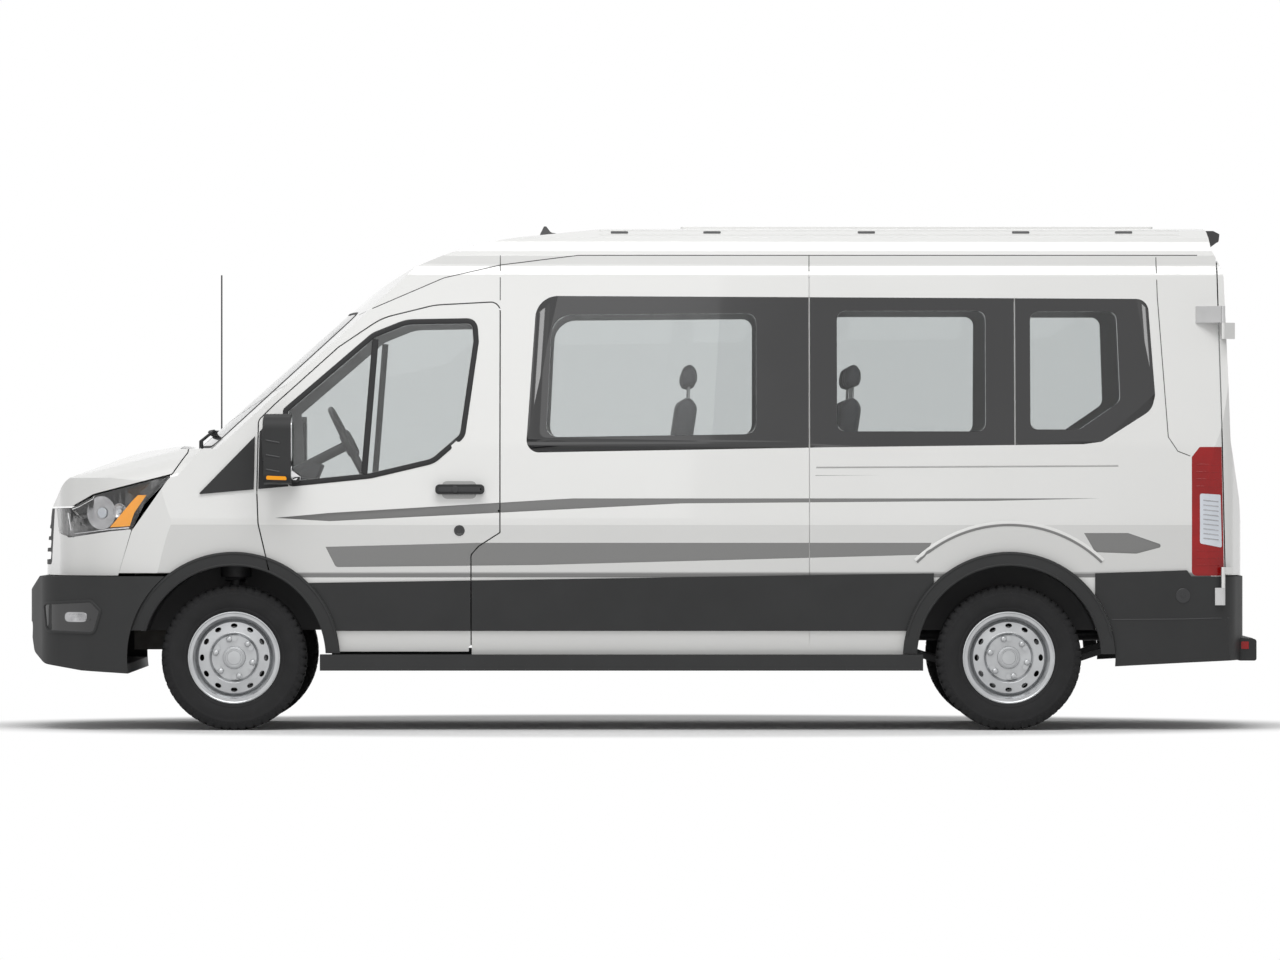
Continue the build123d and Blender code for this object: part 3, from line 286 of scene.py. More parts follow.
def glass_finish(name, colour, roughness=0.003):
    """See-through glass with a trace of unevenness in its gloss."""
    mat, tree, shader = shaded(name, colour, roughness, transmission_weight=1.0, ior=1.45)
    coords = tree.nodes.new("ShaderNodeTexCoord")
    smears = node(tree, "ShaderNodeTexNoise", scale=5.0)
    tree.links.new(coords.outputs["Object"], smears.inputs["Vector"])
    gloss = tree.nodes.new("ShaderNodeMapRange")
    gloss.inputs["To Max"].default_value = roughness * 2
    tree.links.new(smears.outputs["Fac"], gloss.inputs["Value"])
    tree.links.new(gloss.outputs["Result"], shader.inputs["Roughness"])
    return mat


FINISHES = {}


def make_finishes(colours):
    """Fill the table of finishes that every piece draws on."""
    plastic = tuple(colours.plastic)
    FINISHES.update(
        paint=paint_finish(tuple(colours.paint)),
        plastic=plain_finish(
            "grained_plastic", plastic, 0.6, 4, 0.07, 0.8, 1400, 0.00012, specular_ior_level=0.35,
        ),
        satin=plain_finish("satin_plastic", (0.03, 0.03, 0.032), 0.4, 6, 0.05, 0.8, 1600, 0.00004),
        gloss=plain_finish("gloss_black", (0.012, 0.012, 0.013), 0.12, 3, 0.04, coat_weight=0.6),
        rubber=plain_finish("seal_rubber", (0.016, 0.016, 0.017), 0.7, 30, 0.08, 0.8, 1200, 0.00008),
        tyre=plain_finish(
            "tyre_rubber", (0.022, 0.022, 0.023), 0.8, 14, 0.08, 0.72, 700, 0.00025, specular_ior_level=0.3,
        ),
        steel=plain_finish(
            "wheel_silver", (0.52, 0.53, 0.54), 0.34, 9, 0.07, 0.85, 900, 0.00005, metallic=0.75,
        ),
        bright=plain_finish("bright_metal", (0.75, 0.75, 0.76), 0.18, 12, 0.06, 0.9, metallic=1.0),
        hinge=plain_finish("zinc_hinge", (0.55, 0.55, 0.55), 0.36, 8, 0.06, 0.9, 600, 0.00005, metallic=0.9),
        iron=plain_finish("cast_iron", (0.16, 0.15, 0.14), 0.7, 14, 0.1, 0.6, 300, 0.0004, metallic=0.4),
        chassis=plain_finish("chassis_black", (0.035, 0.035, 0.037), 0.55, 5, 0.12, 0.6, 500, 0.00015),
        lining=plain_finish("cabin_plastic", (0.06, 0.06, 0.064), 0.62, 5, 0.05, 0.85, 1300, 0.00015),
        carpet=plain_finish("floor_mat", (0.05, 0.05, 0.052), 0.85, 40, 0.05, 0.7, 500, 0.0005),
        fabric=woven_finish("seat_cloth", tuple(colours.fabric)),
        pane=glass_finish("pane_glass", tuple(colours.glass)),
        lens=glass_finish("lamp_lens", (0.97, 0.97, 0.97)),
        amber=plain_finish(
            "amber_marker", (0.95, 0.36, 0.01), 0.25, 8, 0.05, 0.92, specular_ior_level=0.3,
            emission_color=(1, 0.42, 0.02, 1), emission_strength=0.25,
        ),
        red=plain_finish(
            "red_lens", (0.36, 0.008, 0.009), 0.2, 8, 0.05, 0.8, coat_weight=0.15, specular_ior_level=0.3,
        ),
        white_lens=plain_finish("white_lens", (0.72, 0.76, 0.82), 0.16, 8, 0.05, 0.92, coat_weight=0.5),
        bowl=plain_finish("reflector_bowl", (0.5, 0.5, 0.51), 0.22, 14, 0.08, 0.7, metallic=0.9),
        seam=plain_finish("seam_shadow", (0.05, 0.05, 0.05), 0.8),
        # Paint at 0.55 of its colour: painted shade for the sliding-door track and the handle recess.
        crease=plain_finish("paint_painted_shade", tuple(c * 0.55 for c in colours.paint), 0.35, coat_weight=0.6),
        plate=plain_finish("blank_plate", (0.62, 0.62, 0.6), 0.4, 10, 0.05, 0.9),
    )


# Meshes


def add(name, body, finish, made, bevel=0.0, replaces=()):
    """Finish a mesh as one object that rides on a body of the frame."""
    if isinstance(made, bmesh.types.BMesh):
        bmesh.ops.recalc_face_normals(made, faces=made.faces)
        mesh = bpy.data.meshes.new(name)
        made.to_mesh(mesh)
        made.free()
    else:
        mesh = made
    if not mesh.polygons:
        raise RuntimeError(f"{name} has no faces")
    mesh.shade_smooth()
    mesh.set_sharp_from_angle(angle=SMOOTH_ANGLE)
    mesh.materials.clear()
    mesh.materials.append(FINISHES[finish])
    piece = bpy.data.objects.new(name, mesh)
    bpy.context.scene.collection.objects.link(piece)
    if bevel:
        edge = piece.modifiers.new("Edge", "BEVEL")
        edge.width = bevel
        edge.segments = 2
        edge.limit_method = "ANGLE"
        edge.angle_limit = math.radians(40)
    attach(piece, body)
    if replaces:
        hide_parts(*replaces)
    return piece


def outline(rows, steps=6, closed=True):
    """Points of an outline in metres, its corners rounded by their radii."""
    points = []
    for index, row in enumerate(rows):
        here = Vector(row[:2]) * MM
        radius = row[2] * MM if len(row) > 2 else 0
        if not radius or (not closed and index in (0, len(rows) - 1)):
            points.append(here)
            continue
        before = Vector(rows[index - 1][:2]) * MM - here
        after = Vector(rows[(index + 1) % len(rows)][:2]) * MM - here
        turn = before.angle(after)
        reach = min(radius / math.tan(turn / 2), before.length * 0.49, after.length * 0.49)
        start = here + before.normalized() * reach
        end = here + after.normalized() * reach
        for step in range(steps + 1):
            t = step / steps
            points.append(start * (1 - t) ** 2 + here * 2 * t * (1 - t) + end * t * t)
    return points


def rectangle(left, right, low, high, radius):
    """Outline of a rectangle with rounded corners."""
    return outline(((left, low, radius), (right, low, radius), (right, high, radius), (left, high, radius)))


def scaled(rows):
    """Points of a table, in metres."""
    return [Vector(row) * MM for row in rows]


def mirrored(sign, rows):
    """Outline drawn for the van's right, set on either side."""
    return [Vector((sign * u, v)) for u, v in outline(rows)]


def divided(points, step, closed=True):
    """The same points with more of them on the long stretches."""
    made = []
    count = len(points)
    for index in range(count if closed else count - 1):
        a, b = points[index], points[(index + 1) % count]
        parts = max(1, math.ceil((b - a).length / step))
        made += [a.lerp(b, part / parts) for part in range(parts)]
    return made if closed else made + [points[-1]]


def surface(*names):
    """Search tree of the named nodes of the frame."""
    verts, faces = [], []
    for name in names:
        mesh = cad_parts[name].data
        start = len(verts)
        verts += [v.co.copy() for v in mesh.vertices]
        faces += [[start + i for i in p.vertices] for p in mesh.polygons]
    return BVHTree.FromPolygons(verts, faces)


def placer(tree, origin, way):
    """Function that sets a pair of coordinates on a surface seen along one axis."""
    way = Vector(way)

    def place(u, v):
        start = origin(u, v)
        spot, normal = tree.ray_cast(start, way)[:2]
        if spot is None:
            spot, normal = tree.find_nearest(start + way * 1.9)[:2]
        return spot, (-normal if normal.dot(way) > 0 else normal)

    place.way = way
    return place


def on_side(sign, *names):
    """Places x and z on one flank of the named nodes."""
    return placer(surface(*names), lambda u, v: Vector((u, sign * 3, v)), (0, -sign, 0))


def on_front(*names):
    """Places y and z on the front of the named nodes."""
    return placer(surface(*names), lambda u, v: Vector((-5, u, v)), (1, 0, 0))


def on_back(*names):
    """Places y and z on the back of the named nodes."""
    return placer(surface(*names), lambda u, v: Vector((5, u, v)), (-1, 0, 0))


def on_top(*names):
    """Places x and y on top of the named nodes."""
    return placer(surface(*names), lambda u, v: Vector((u, v, 5)), (0, 0, -1))


def ring_faces(bm, rings, closed=False, capped=True):
    """Skin between rings of vertices."""
    count = len(rings[0])
    for index in range(len(rings) if closed else len(rings) - 1):
        a, b = rings[index], rings[(index + 1) % len(rings)]
        for k in range(count):
            bm.faces.new((a[k], a[(k + 1) % count], b[(k + 1) % count], b[k]))
    if capped and not closed:
        bm.faces.new(rings[0])
        bm.faces.new(list(reversed(rings[-1])))


def sweep(bm, spots, profile, closed=False):
    """Bar of one cross-section along spots, each a point with its outward normal."""
    rings = []
    count = len(spots)
    for index, (point, normal) in enumerate(spots):
        before = spots[index - 1][0] if closed or index else point
        after = spots[(index + 1) % count][0] if closed or index < count - 1 else point
        along = (after - before).normalized()
        out = (normal - along * normal.dot(along)).normalized()
        side = along.cross(out)
        rings.append([bm.verts.new(point + side * u + out * v) for u, v in profile])
    ring_faces(bm, rings, closed)


def bead(width, height, sink=0.001):
    """Cross-section of a low rounded strip."""
    half = width / 2
    return (
        (-half, -sink), (-half, height * 0.45), (-half * 0.62, height * 0.9), (0, height),
        (half * 0.62, height * 0.9), (half, height * 0.45), (half, -sink),
    )


def round_section(radius, sides=10):
    """Round cross-section."""
    angles = [2 * math.pi * k / sides for k in range(sides)]
    return tuple((radius * math.cos(a), radius * math.sin(a)) for a in angles)


def strip(bm, place, points, profile, closed=False, step=0.04):
    """Strip that follows a surface, and keeps its level over the gaps in it."""
    spots = [place(*p) for p in divided(points, step, closed)]
    depths = [spot.dot(place.way) for spot, normal in spots]
    count = len(spots)
    level = []
    for index, (spot, normal) in enumerate(spots):
        near = [(index + k) % count if closed else min(max(index + k, 0), count - 1) for k in range(-4, 5)]
        middle = sorted(depths[k] for k in near)[4]
        off = middle - depths[index]
        level.append((spot + place.way * off, spots[near[2]][1]) if abs(off) > 0.012 else (spot, normal))
    sweep(bm, level, profile, closed)


def pipe(bm, points, radius, sides=10, closed=False):
    """Round bar through free points."""
    points = [Vector(p) for p in points]
    count = len(points)
    ref = Vector((0.13, 0.31, 0.94)).normalized()
    spots = []
    for index in range(count):
        before = points[index - 1] if closed or index else points[index]
        after = points[(index + 1) % count] if closed or index < count - 1 else points[index]
        along = (after - before).normalized()
        ref = (ref - along * ref.dot(along)).normalized()
        spots.append((points[index], ref))
    sweep(bm, spots, round_section(radius, sides), closed)


def lathe(bm, rows, matrix, steps=40, closed=False):
    """Turned shape about z from rows of radius and height in millimetres."""
    rings = []
    for step in range(steps):
        a = 2 * math.pi * step / steps
        rings.append([Vector((r * MM * math.cos(a), r * MM * math.sin(a), z * MM)) for r, z in rows])
    verts = {}

    def vert(step, row):
        key = (0, row) if rows[row][0] == 0 else (step % steps, row)
        if key not in verts:
            verts[key] = bm.verts.new(matrix @ rings[key[0]][row])
        return verts[key]

    last = len(rows) if closed else len(rows) - 1
    for step in range(steps):
        for row in range(last):
            nxt = (row + 1) % len(rows)
            corners = [vert(step, row), vert(step + 1, row), vert(step + 1, nxt), vert(step, nxt)]
            unique = list(dict.fromkeys(corners))
            if len(unique) > 2:
                bm.faces.new(unique)


def inside(point, edge):
    """Whether a point lies within a closed outline."""
    found = False
    for index, a in enumerate(edge):
        b = edge[index - 1]
        if (a[1] > point[1]) != (b[1] > point[1]):
            if point[0] < (b[0] - a[0]) * (point[1] - a[1]) / (b[1] - a[1]) + a[0]:
                found = not found
    return found


def slab(bm, place, points, lift, thickness, step=0.04):
    """Closed sheet that follows a surface inside an outline."""
    edge = divided(points, step)
    lows = [min(p[k] for p in edge) for k in (0, 1)]
    highs = [max(p[k] for p in edge) for k in (0, 1)]
    spots = list(edge)
    counts = [max(1, int((highs[k] - lows[k]) / step)) for k in (0, 1)]
    for i in range(1, counts[0] + 1):
        for j in range(1, counts[1] + 1):
            spot = Vector((lows[0] + (i - 0.5) * step, lows[1] + (j - 0.5) * step))
            near = min((spot - p).length for p in edge)
            if near > step * 0.35 and inside(spot, edge):
                spots.append(spot)
    flat, _, faces = delaunay_2d_cdt(spots, [], [list(range(len(edge)))], 1, 1e-7)[:3]
    placed = [place(*p) for p in flat]
    top = [bm.verts.new(p + n * (lift + thickness)) for p, n in placed]
    low = [bm.verts.new(p + n * lift) for p, n in placed]
    used = {}
    for face in faces:
        bm.faces.new([top[i] for i in face])
        bm.faces.new([low[i] for i in reversed(face)])
        for a, b in zip(face, list(face[1:]) + [face[0]]):
            used[(a, b)] = used.get((a, b), 0) + 1
    for a, b in used:
        if (b, a) not in used:
            bm.faces.new((top[b], top[a], low[a], low[b]))


def merged(name):
    """Copy of a node of the frame with its doubles merged."""
    bm = bmesh.new()
    bm.from_mesh(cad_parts[name].data)
    bmesh.ops.remove_doubles(bm, verts=bm.verts, dist=2e-5)
    return bm


def prisms(outlines, corner, reach):
    """Closed prisms of flat outlines; corner(u, v, w) gives each point."""
    bm = bmesh.new()
    for points in outlines:
        rings = [[bm.verts.new(corner(u, v, w)) for u, v in points] for w in reach]
        ring_faces(bm, rings)
    bmesh.ops.recalc_face_normals(bm, faces=bm.faces)
    return bm


def cut(shape, tool, operation):
    """New mesh of one closed shape cut or kept by another."""
    objects = []
    for source in (shape, tool):
        mesh = bpy.data.meshes.new("work")
        source.to_mesh(mesh)
        objects.append(bpy.data.objects.new("work", mesh))
        bpy.context.scene.collection.objects.link(objects[-1])
    change = objects[0].modifiers.new("Cut", "BOOLEAN")
    change.operation = operation
    change.object = objects[1]
    change.solver = "EXACT"
    made = plain_mesh(objects[0])
    bpy.data.objects.remove(objects[1])
    return made


def plain_mesh(thing):
    """Mesh of an object with its modifiers in it; the object is taken away."""
    bpy.context.view_layer.update()
    ready = thing.evaluated_get(bpy.context.evaluated_depsgraph_get())
    made = bpy.data.meshes.new_from_object(ready)
    bpy.data.objects.remove(thing)
    return made


# Copies in rows and rings


def copies_tree(kind):
    """Tree that repeats its own mesh about z, or along a step."""
    tree = bpy.data.node_groups.new(kind, "GeometryNodeTree")
    face = tree.interface
    face.new_socket("Mesh", in_out="INPUT", socket_type="NodeSocketGeometry")
    face.new_socket("Count", in_out="INPUT", socket_type="NodeSocketInt")
    face.new_socket("First", in_out="INPUT", socket_type="NodeSocketFloat")
    face.new_socket("Step", in_out="INPUT", socket_type="NodeSocketVector")
    face.new_socket("Finish", in_out="INPUT", socket_type="NodeSocketMaterial")
    face.new_socket("Mesh", in_out="OUTPUT", socket_type="NodeSocketGeometry")
    start = tree.nodes.new("NodeGroupInput")
    end = tree.nodes.new("NodeGroupOutput")
    points = tree.nodes.new("GeometryNodePoints")
    index = tree.nodes.new("GeometryNodeInputIndex")
    spot = node(tree, "ShaderNodeVectorMath", operation="SCALE")
    copy = tree.nodes.new("GeometryNodeInstanceOnPoints")
    real = tree.nodes.new("GeometryNodeRealizeInstances")
    coat = tree.nodes.new("GeometryNodeSetMaterial")
    shift = node(tree, "ShaderNodeMath", operation="ADD")
    link = tree.links.new
    link(start.outputs["Count"], points.inputs["Count"])
    link(index.outputs["Index"], shift.inputs[0])
    link(start.outputs["First"], shift.inputs[1])
    link(start.outputs["Step"], spot.inputs[0])
    link(shift.outputs["Value"], spot.inputs["Scale"])
    link(points.outputs["Points"], copy.inputs["Points"])
    link(start.outputs["Mesh"], copy.inputs["Instance"])
    if kind == "copies_round":
        link(spot.outputs["Vector"], copy.inputs["Rotation"])
    else:
        link(spot.outputs["Vector"], points.inputs["Position"])
    link(copy.outputs["Instances"], real.inputs["Geometry"])
    link(real.outputs["Geometry"], coat.inputs["Geometry"])
    link(start.outputs["Finish"], coat.inputs["Material"])
    link(coat.outputs["Geometry"], end.inputs["Mesh"])
    return tree


def repeated(bm, count, step, finish, first=0.0, kind="copies_round"):
    """Plain mesh of a small shape repeated about z or in a row."""
    tree = bpy.data.node_groups.get(kind) or copies_tree(kind)
    bmesh.ops.recalc_face_normals(bm, faces=bm.faces)
    mesh = bpy.data.meshes.new("block")
    bm.to_mesh(mesh)
    bm.free()
    thing = bpy.data.objects.new("block", mesh)
    bpy.context.scene.collection.objects.link(thing)
    change = thing.modifiers.new("Copies", "NODES")
    change.node_group = tree
    values = {"Count": count, "First": first, "Step": step, "Finish": FINISHES[finish]}
    for item in tree.interface.items_tree:
        if item.in_out == "INPUT" and item.name in values:
            change[item.identifier] = values[item.name]
    return plain_mesh(thing)


def joined(*meshes):
    """One bmesh of several meshes and bmeshes."""
    bm = bmesh.new()
    for made in meshes:
        if isinstance(made, bmesh.types.BMesh):
            work = bpy.data.meshes.new("work")
            made.to_mesh(work)
            made = work
        bm.from_mesh(made)
    return bm


def block_of(rows, low, high, corner):
    """Small extruded block: rows of two coordinates, then its reach."""
    bm = bmesh.new()
    rings = [[bm.verts.new(corner(u, v, w)) for u, v in rows] for w in (low, high)]
    ring_faces(bm, rings)
    return bm


# The stage


def make_stage(sizes):
    """Pale floor, white world for what the camera and reflections see, two soft lamps and the camera."""
    scene = bpy.context.scene
    scene.view_settings.view_transform = "Standard"
    world = bpy.data.worlds.new("Studio")
    scene.world = world
    world.use_nodes = True
    tree = world.node_tree
    soft = tree.nodes["Background"]
    soft.inputs["Color"].default_value = (0.42, 0.42, 0.42, 1)
    seen = tree.nodes.new("ShaderNodeBackground")
    seen.inputs["Color"].default_value = (1, 1, 1, 1)
    blend = tree.nodes.new("ShaderNodeMixShader")
    tree.links.new(seen_rays(tree), blend.inputs["Fac"])
    tree.links.new(soft.outputs["Background"], blend.inputs[1])
    tree.links.new(seen.outputs["Background"], blend.inputs[2])
    tree.links.new(blend.outputs["Shader"], tree.nodes["World Output"].inputs["Surface"])

    mesh = bpy.data.meshes.new("floor")
    mesh.from_pydata([(-8, -6, 0), (8, -6, 0), (8, 6, 0), (-8, 6, 0)], [], [(0, 1, 2, 3)])
    mesh.materials.append(floor_finish())
    floor = bpy.data.objects.new("floor", mesh)
    scene.collection.objects.link(floor)
    floor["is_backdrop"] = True

    lamp("key", (-0.4, -6.5, 9.5), (0, -0.6, 1.0), (9, 4.5), sizes.key_power)
    lamp("fill", (-2.5, -9.5, 3.6), (0, 0, 1.2), (6, 4), sizes.fill_power)
    lens = bpy.data.cameras.new("camera")
    lens.lens = 285
    lens.clip_end = 300
    camera = bpy.data.objects.new("camera", lens)
    camera.location = (0, -50, 1.211)
    camera.rotation_euler = (math.radians(90), 0, 0)
    scene.collection.objects.link(camera)
    scene.camera = camera


def seen_rays(tree):
    """One for rays of the camera, of reflections and through glass."""
    path = tree.nodes.new("ShaderNodeLightPath")
    total = path.outputs["Is Camera Ray"]
    for name in ("Is Glossy Ray", "Is Transmission Ray"):
        step = node(tree, "ShaderNodeMath", operation="MAXIMUM")
        tree.links.new(total, step.inputs[0])
        tree.links.new(path.outputs[name], step.inputs[1])
        total = step.outputs["Value"]
    return total


def floor_finish():
    """Pale floor that keeps the shadow near the van and runs out to the white of the world."""
    mat, tree, shader = shaded("studio_floor", (0.86, 0.86, 0.86), 0.9)
    coords = tree.nodes.new("ShaderNodeTexCoord")
    shape = node(tree, "ShaderNodeMapping")
    shape.inputs["Scale"].default_value = (0.185, 0.26, 1)
    tree.links.new(coords.outputs["Object"], shape.inputs["Vector"])
    far = node(tree, "ShaderNodeVectorMath", operation="LENGTH")
    tree.links.new(shape.outputs["Vector"], far.inputs[0])
    fade = node(tree, "ShaderNodeMapRange", interpolation_type="SMOOTHSTEP")
    fade.inputs["From Min"].default_value = 0.52
    fade.inputs["From Max"].default_value = 0.68
    tree.links.new(far.outputs["Value"], fade.inputs["Value"])
    share = node(tree, "ShaderNodeMath", operation="MULTIPLY")
    tree.links.new(fade.outputs["Result"], share.inputs[0])
    tree.links.new(seen_rays(tree), share.inputs[1])
    glow = tree.nodes.new("ShaderNodeEmission")
    blend = tree.nodes.new("ShaderNodeMixShader")
    tree.links.new(share.outputs["Value"], blend.inputs["Fac"])
    tree.links.new(shader.outputs["BSDF"], blend.inputs[1])
    tree.links.new(glow.outputs["Emission"], blend.inputs[2])
    tree.links.new(blend.outputs["Shader"], tree.nodes["Material Output"].inputs["Surface"])
    return mat


def lamp(name, place, target, size, power):
    """Soft rectangular lamp aimed at a point."""
    light = bpy.data.lights.new(name, "AREA")
    light.shape = "RECTANGLE"
    light.size, light.size_y = size
    light.energy = power
    thing = bpy.data.objects.new(name, light)
    thing.location = place
    thing.rotation_euler = (Vector(target) - Vector(place)).to_track_quat("-Z", "Y").to_euler()
    bpy.context.scene.collection.objects.link(thing)


# Finishes of the frame's own nodes


def finish_frame():
    """Give every node of the frame its real finish."""
    table = {name: "paint" for name in PAINTED}
    table.update({name: "plastic" for name in GRAINED})
    table.update({name: "chassis" for name in CHASSIS})
    table.update(engine="iron", knuckle_left="iron", knuckle_right="iron", panel_hinges="hinge")
    table.update(floor_pan="carpet", dashboard="lining", steering_wheel="satin", roof_fittings="gloss")
    table.update(windscreen="pane", side_glass="pane", headlamps="lens", tail_lamps="red", seats="fabric")
    for name, _ in SIDES:
        table[f"door_glass_{name}"] = "pane"
        table[f"rear_glass_{name}"] = "pane"
        for axle, _ in AXLES:
            table[f"{axle}_wheel_{name}"] = "steel"
            table[f"{axle}_tyre_{name}"] = "tyre"
    for name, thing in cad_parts.items():
        thing.data.materials.clear()
        thing.data.materials.append(FINISHES[table[name]])


# Glass


def make_glass():
    """Split each bonded glass into its black border and its see-through pane."""
    panes = [outline(rows) for rows in PANES]
    split_glass("side_glass", "body", panes, lambda u, v, w: Vector((u, w, v)), (-1.5, 1.5))
    split_glass(
        "windscreen", "body", [outline(SCREEN_PANE)],
        lambda u, v, w: Vector((w, u, v)), (-2.5, -1.0),
    )
    for name, sign in SIDES:
        split_glass(
            f"rear_glass_{name}", f"rear_door_{name}", [outline(REAR_PANE)],
            lambda u, v, w, sign=sign: Vector((w, sign * u, v)), (2.7, 3.0),
        )


def split_glass(name, body, outlines, corner, reach):
    """Border and panes of one glass node, in place of it."""
    for part, operation, finish in (("border", "DIFFERENCE", "gloss"), ("panes", "INTERSECT", "pane")):
        mesh = cut(merged(name), prisms(outlines, corner, reach), operation)
        add(f"{name}_{part}", body, finish, mesh, replaces=(name,))


# Rubber and seams


DIVIDER = ((-1280, 1893), (-1333, 1240))
SCREEN_EDGE = ((860, 1372, 50), (734, 2022, 80), (-734, 2022, 80), (-860, 1372, 50))
REAR_EDGE = ((110, 1420, 60), (850, 1420, 80), (785, 2090, 80), (110, 2090, 60))
BODY_SEAMS = (
    ((-677, 2082), (-677, 2300)),
    ((819, 2190), (819, 2300)),
    ((2500, 2290), (2505, 2100), (2554, 1419), (2600, 1350), (2660, 1327)),
)
ROOF_SEAM = ((-1364, 2012), (-950, 2190), (-677, 2253), (-300, 2300), (2700, 2300))


def make_seals(sizes):
    """Rubber round the panes, the bar in each door window and the seams of the panels."""
    width = sizes.seal_width
    for name, sign in SIDES:
        door = on_side(sign, f"front_door_{name}", f"door_glass_{name}")
        bm = bmesh.new()
        strip(bm, door, outline(DOOR_WINDOW), bead(width, 0.004), closed=True)
        strip(bm, door, scaled(DIVIDER), bead(0.031, 0.005))
        add(f"door_window_seal_{name}", f"front_door_{name}", "rubber", bm)

        bm = bmesh.new()
        flank = on_side(sign, "side_left", "side_right", "sliding_door", "roof", "side_glass")
        for points in BODY_SEAMS:
            strip(bm, flank, scaled(points), bead(sizes.seam_width, 0.0006))
        strip(bm, flank, scaled(ROOF_SEAM), bead(sizes.seam_width, 0.0006))
        add(f"body_seams_{name}", "body", "seam", bm)

        bm = bmesh.new()
        back = on_back(f"rear_door_{name}", f"rear_glass_{name}")
        strip(bm, back, mirrored(sign, REAR_EDGE), bead(0.012, 0.003), closed=True)
        add(f"rear_window_seal_{name}", f"rear_door_{name}", "rubber", bm)
    bm = bmesh.new()
    front = on_front("windscreen", "side_left", "side_right", "roof")
    strip(bm, front, outline(SCREEN_EDGE), bead(0.014, 0.003), True)
    add("windscreen_seal", "body", "rubber", bm)


# Wheels and tyres


def wheel_place(axle_x, sign):
    """Matrix that sets a wheel drawn about z on its axle, its face outward."""
    spot = Vector((axle_x, sign * HALF_TRACK, TYRE_RADIUS)) * MM
    return Matrix.Translation(spot) @ Matrix.Rotation(math.radians(-90 * sign), 4, "X")


def tread_block(rows, half, bevel=0.0015):
    """Block of rubber drawn in radius and height, with a width along the tread."""
    bm = bmesh.new()
    rings = []
    for y, shrink in ((-half, bevel), (-half + bevel, 0), (half - bevel, 0), (half, bevel)):
        middle = sum((Vector(r) for r in rows), Vector((0, 0))) / len(rows) * MM
        ring = []
        for r, z in rows:
            point = Vector((r, z)) * MM
            point += (middle - point).normalized() * shrink
            ring.append(bm.verts.new((point[0], y, point[1])))
        rings.append(ring)
    ring_faces(bm, rings)
    return bm


def tyre_mesh(sizes):
    """One tyre about z: carcass, shoulder blocks, ribs and sidewall lines."""
    floor = TYRE_RADIUS - sizes.tread_depth / MM
    half = (
        (206.6, 0), (206.6, 82), (212, 84), (222, 85.5), (226, 95), (234, 102), (240, 104.5), (243, 104.2),
        (246, 106.5), (262, 112.5), (278, 115.8), (292, 116.6), (304, 115.8), (308, 117.2), (312, 116.6),
        (316, 114.2), (328, 109),
        (337, 101), (floor, 90), (floor, 0),
    )
    rows = list(half) + [(r, -z) for r, z in reversed(half[1:-1])]
    carcass = bmesh.new()
    lathe(carcass, rows, Matrix.Identity(4), steps=96, closed=True)
    bmesh.ops.recalc_face_normals(carcass, faces=carcass.faces)
    parts = [carcass]
    count = sizes.tread_blocks
    turn = 2 * math.pi / count
    top = TYRE_RADIUS - 0.2
    shoulder = (
        (floor - 3, 68), (top, 66), (top, 80), (345, 97), (334, 106.5), (321, 113), (318, 111), (330, 100),
    )
    edge = ((300, 113), (312, 116), (322, 113.4), (316, 108))
    for side in (1, -1):
        block = tread_block([(r, z * side) for r, z in shoulder], 0.0145)
        parts.append(repeated(block, count, (0, 0, turn), "tyre", first=0.25 * side))
        lug = tread_block([(r, z * side) for r, z in edge], 0.004)
        parts.append(repeated(lug, count * 2, (0, 0, turn / 2), "tyre", first=0.5))
    ribs = count + 10
    for lane, z in enumerate((-50, -17, 17, 50)):
        rows = ((floor - 3, z - 13), (top, z - 13), (top, z + 13), (floor - 3, z + 13))
        rib = tread_block(rows, 0.0125)
        parts.append(repeated(rib, ribs, (0, 0, 2 * math.pi / ribs), "tyre", first=0.5 * (lane % 2)))
    return joined(*parts)


def wheel_extras():
    """Nuts, vent lips, cap ring and rim edge of one wheel, about z."""
    parts = []
    nut = bmesh.new()
    corners = [(math.cos(a) * 15.6, math.sin(a) * 15.6) for a in (math.pi / 3 * k for k in range(6))]
    rings = []
    for scale, z in ((1.12, 49), (1.12, 53), (1.0, 54.5), (1.0, 71), (0.86, 74.5), (0.55, 77)):
        rings.append([nut.verts.new((92 * MM + x * scale * MM, y * scale * MM, z * MM)) for x, y in corners])
    ring_faces(nut, rings)
    parts.append(repeated(nut, 6, (0, 0, math.pi / 3), "bright", first=0.5))
    lip = bmesh.new()
    spots = []
    for k in range(24):
        a = 2 * math.pi * k / 24
        x, y = 155 + 13.2 * math.cos(a), 18.4 * math.sin(a)
        spots.append((Vector((x, y, 63.4 + (155 - x) * 0.09)) * MM, Vector((0, 0, 1))))
    sweep(lip, spots, ((-0.0022, -0.002), (-0.0014, 0.0012), (0.0014, 0.0012), (0.0022, -0.002)), closed=True)
    parts.append(repeated(lip, 12, (0, 0, math.pi / 6), "steel"))
    turned = bmesh.new()
    for rows, steps, closed in (
        (((44, 82), (48.5, 82), (50, 77), (47, 85.6), (43, 86.4)), 48, True),
        (((0, 82), (34, 82), (35, 84.5), (33, 87), (12, 88.4), (0, 88.6)), 40, False),
        (((214, 88), (222.4, 89), (223, 93.4), (218, 95), (213.5, 92)), 72, True),
        (((113, 60), (118, 67.8), (123, 70.5), (126, 68.6), (122, 62)), 60, True),
    ):
        lathe(turned, rows, Matrix.Identity(4), steps, closed)
    bmesh.ops.recalc_face_normals(turned, faces=turned.faces)
    parts.append(turned)
    return joined(*parts)


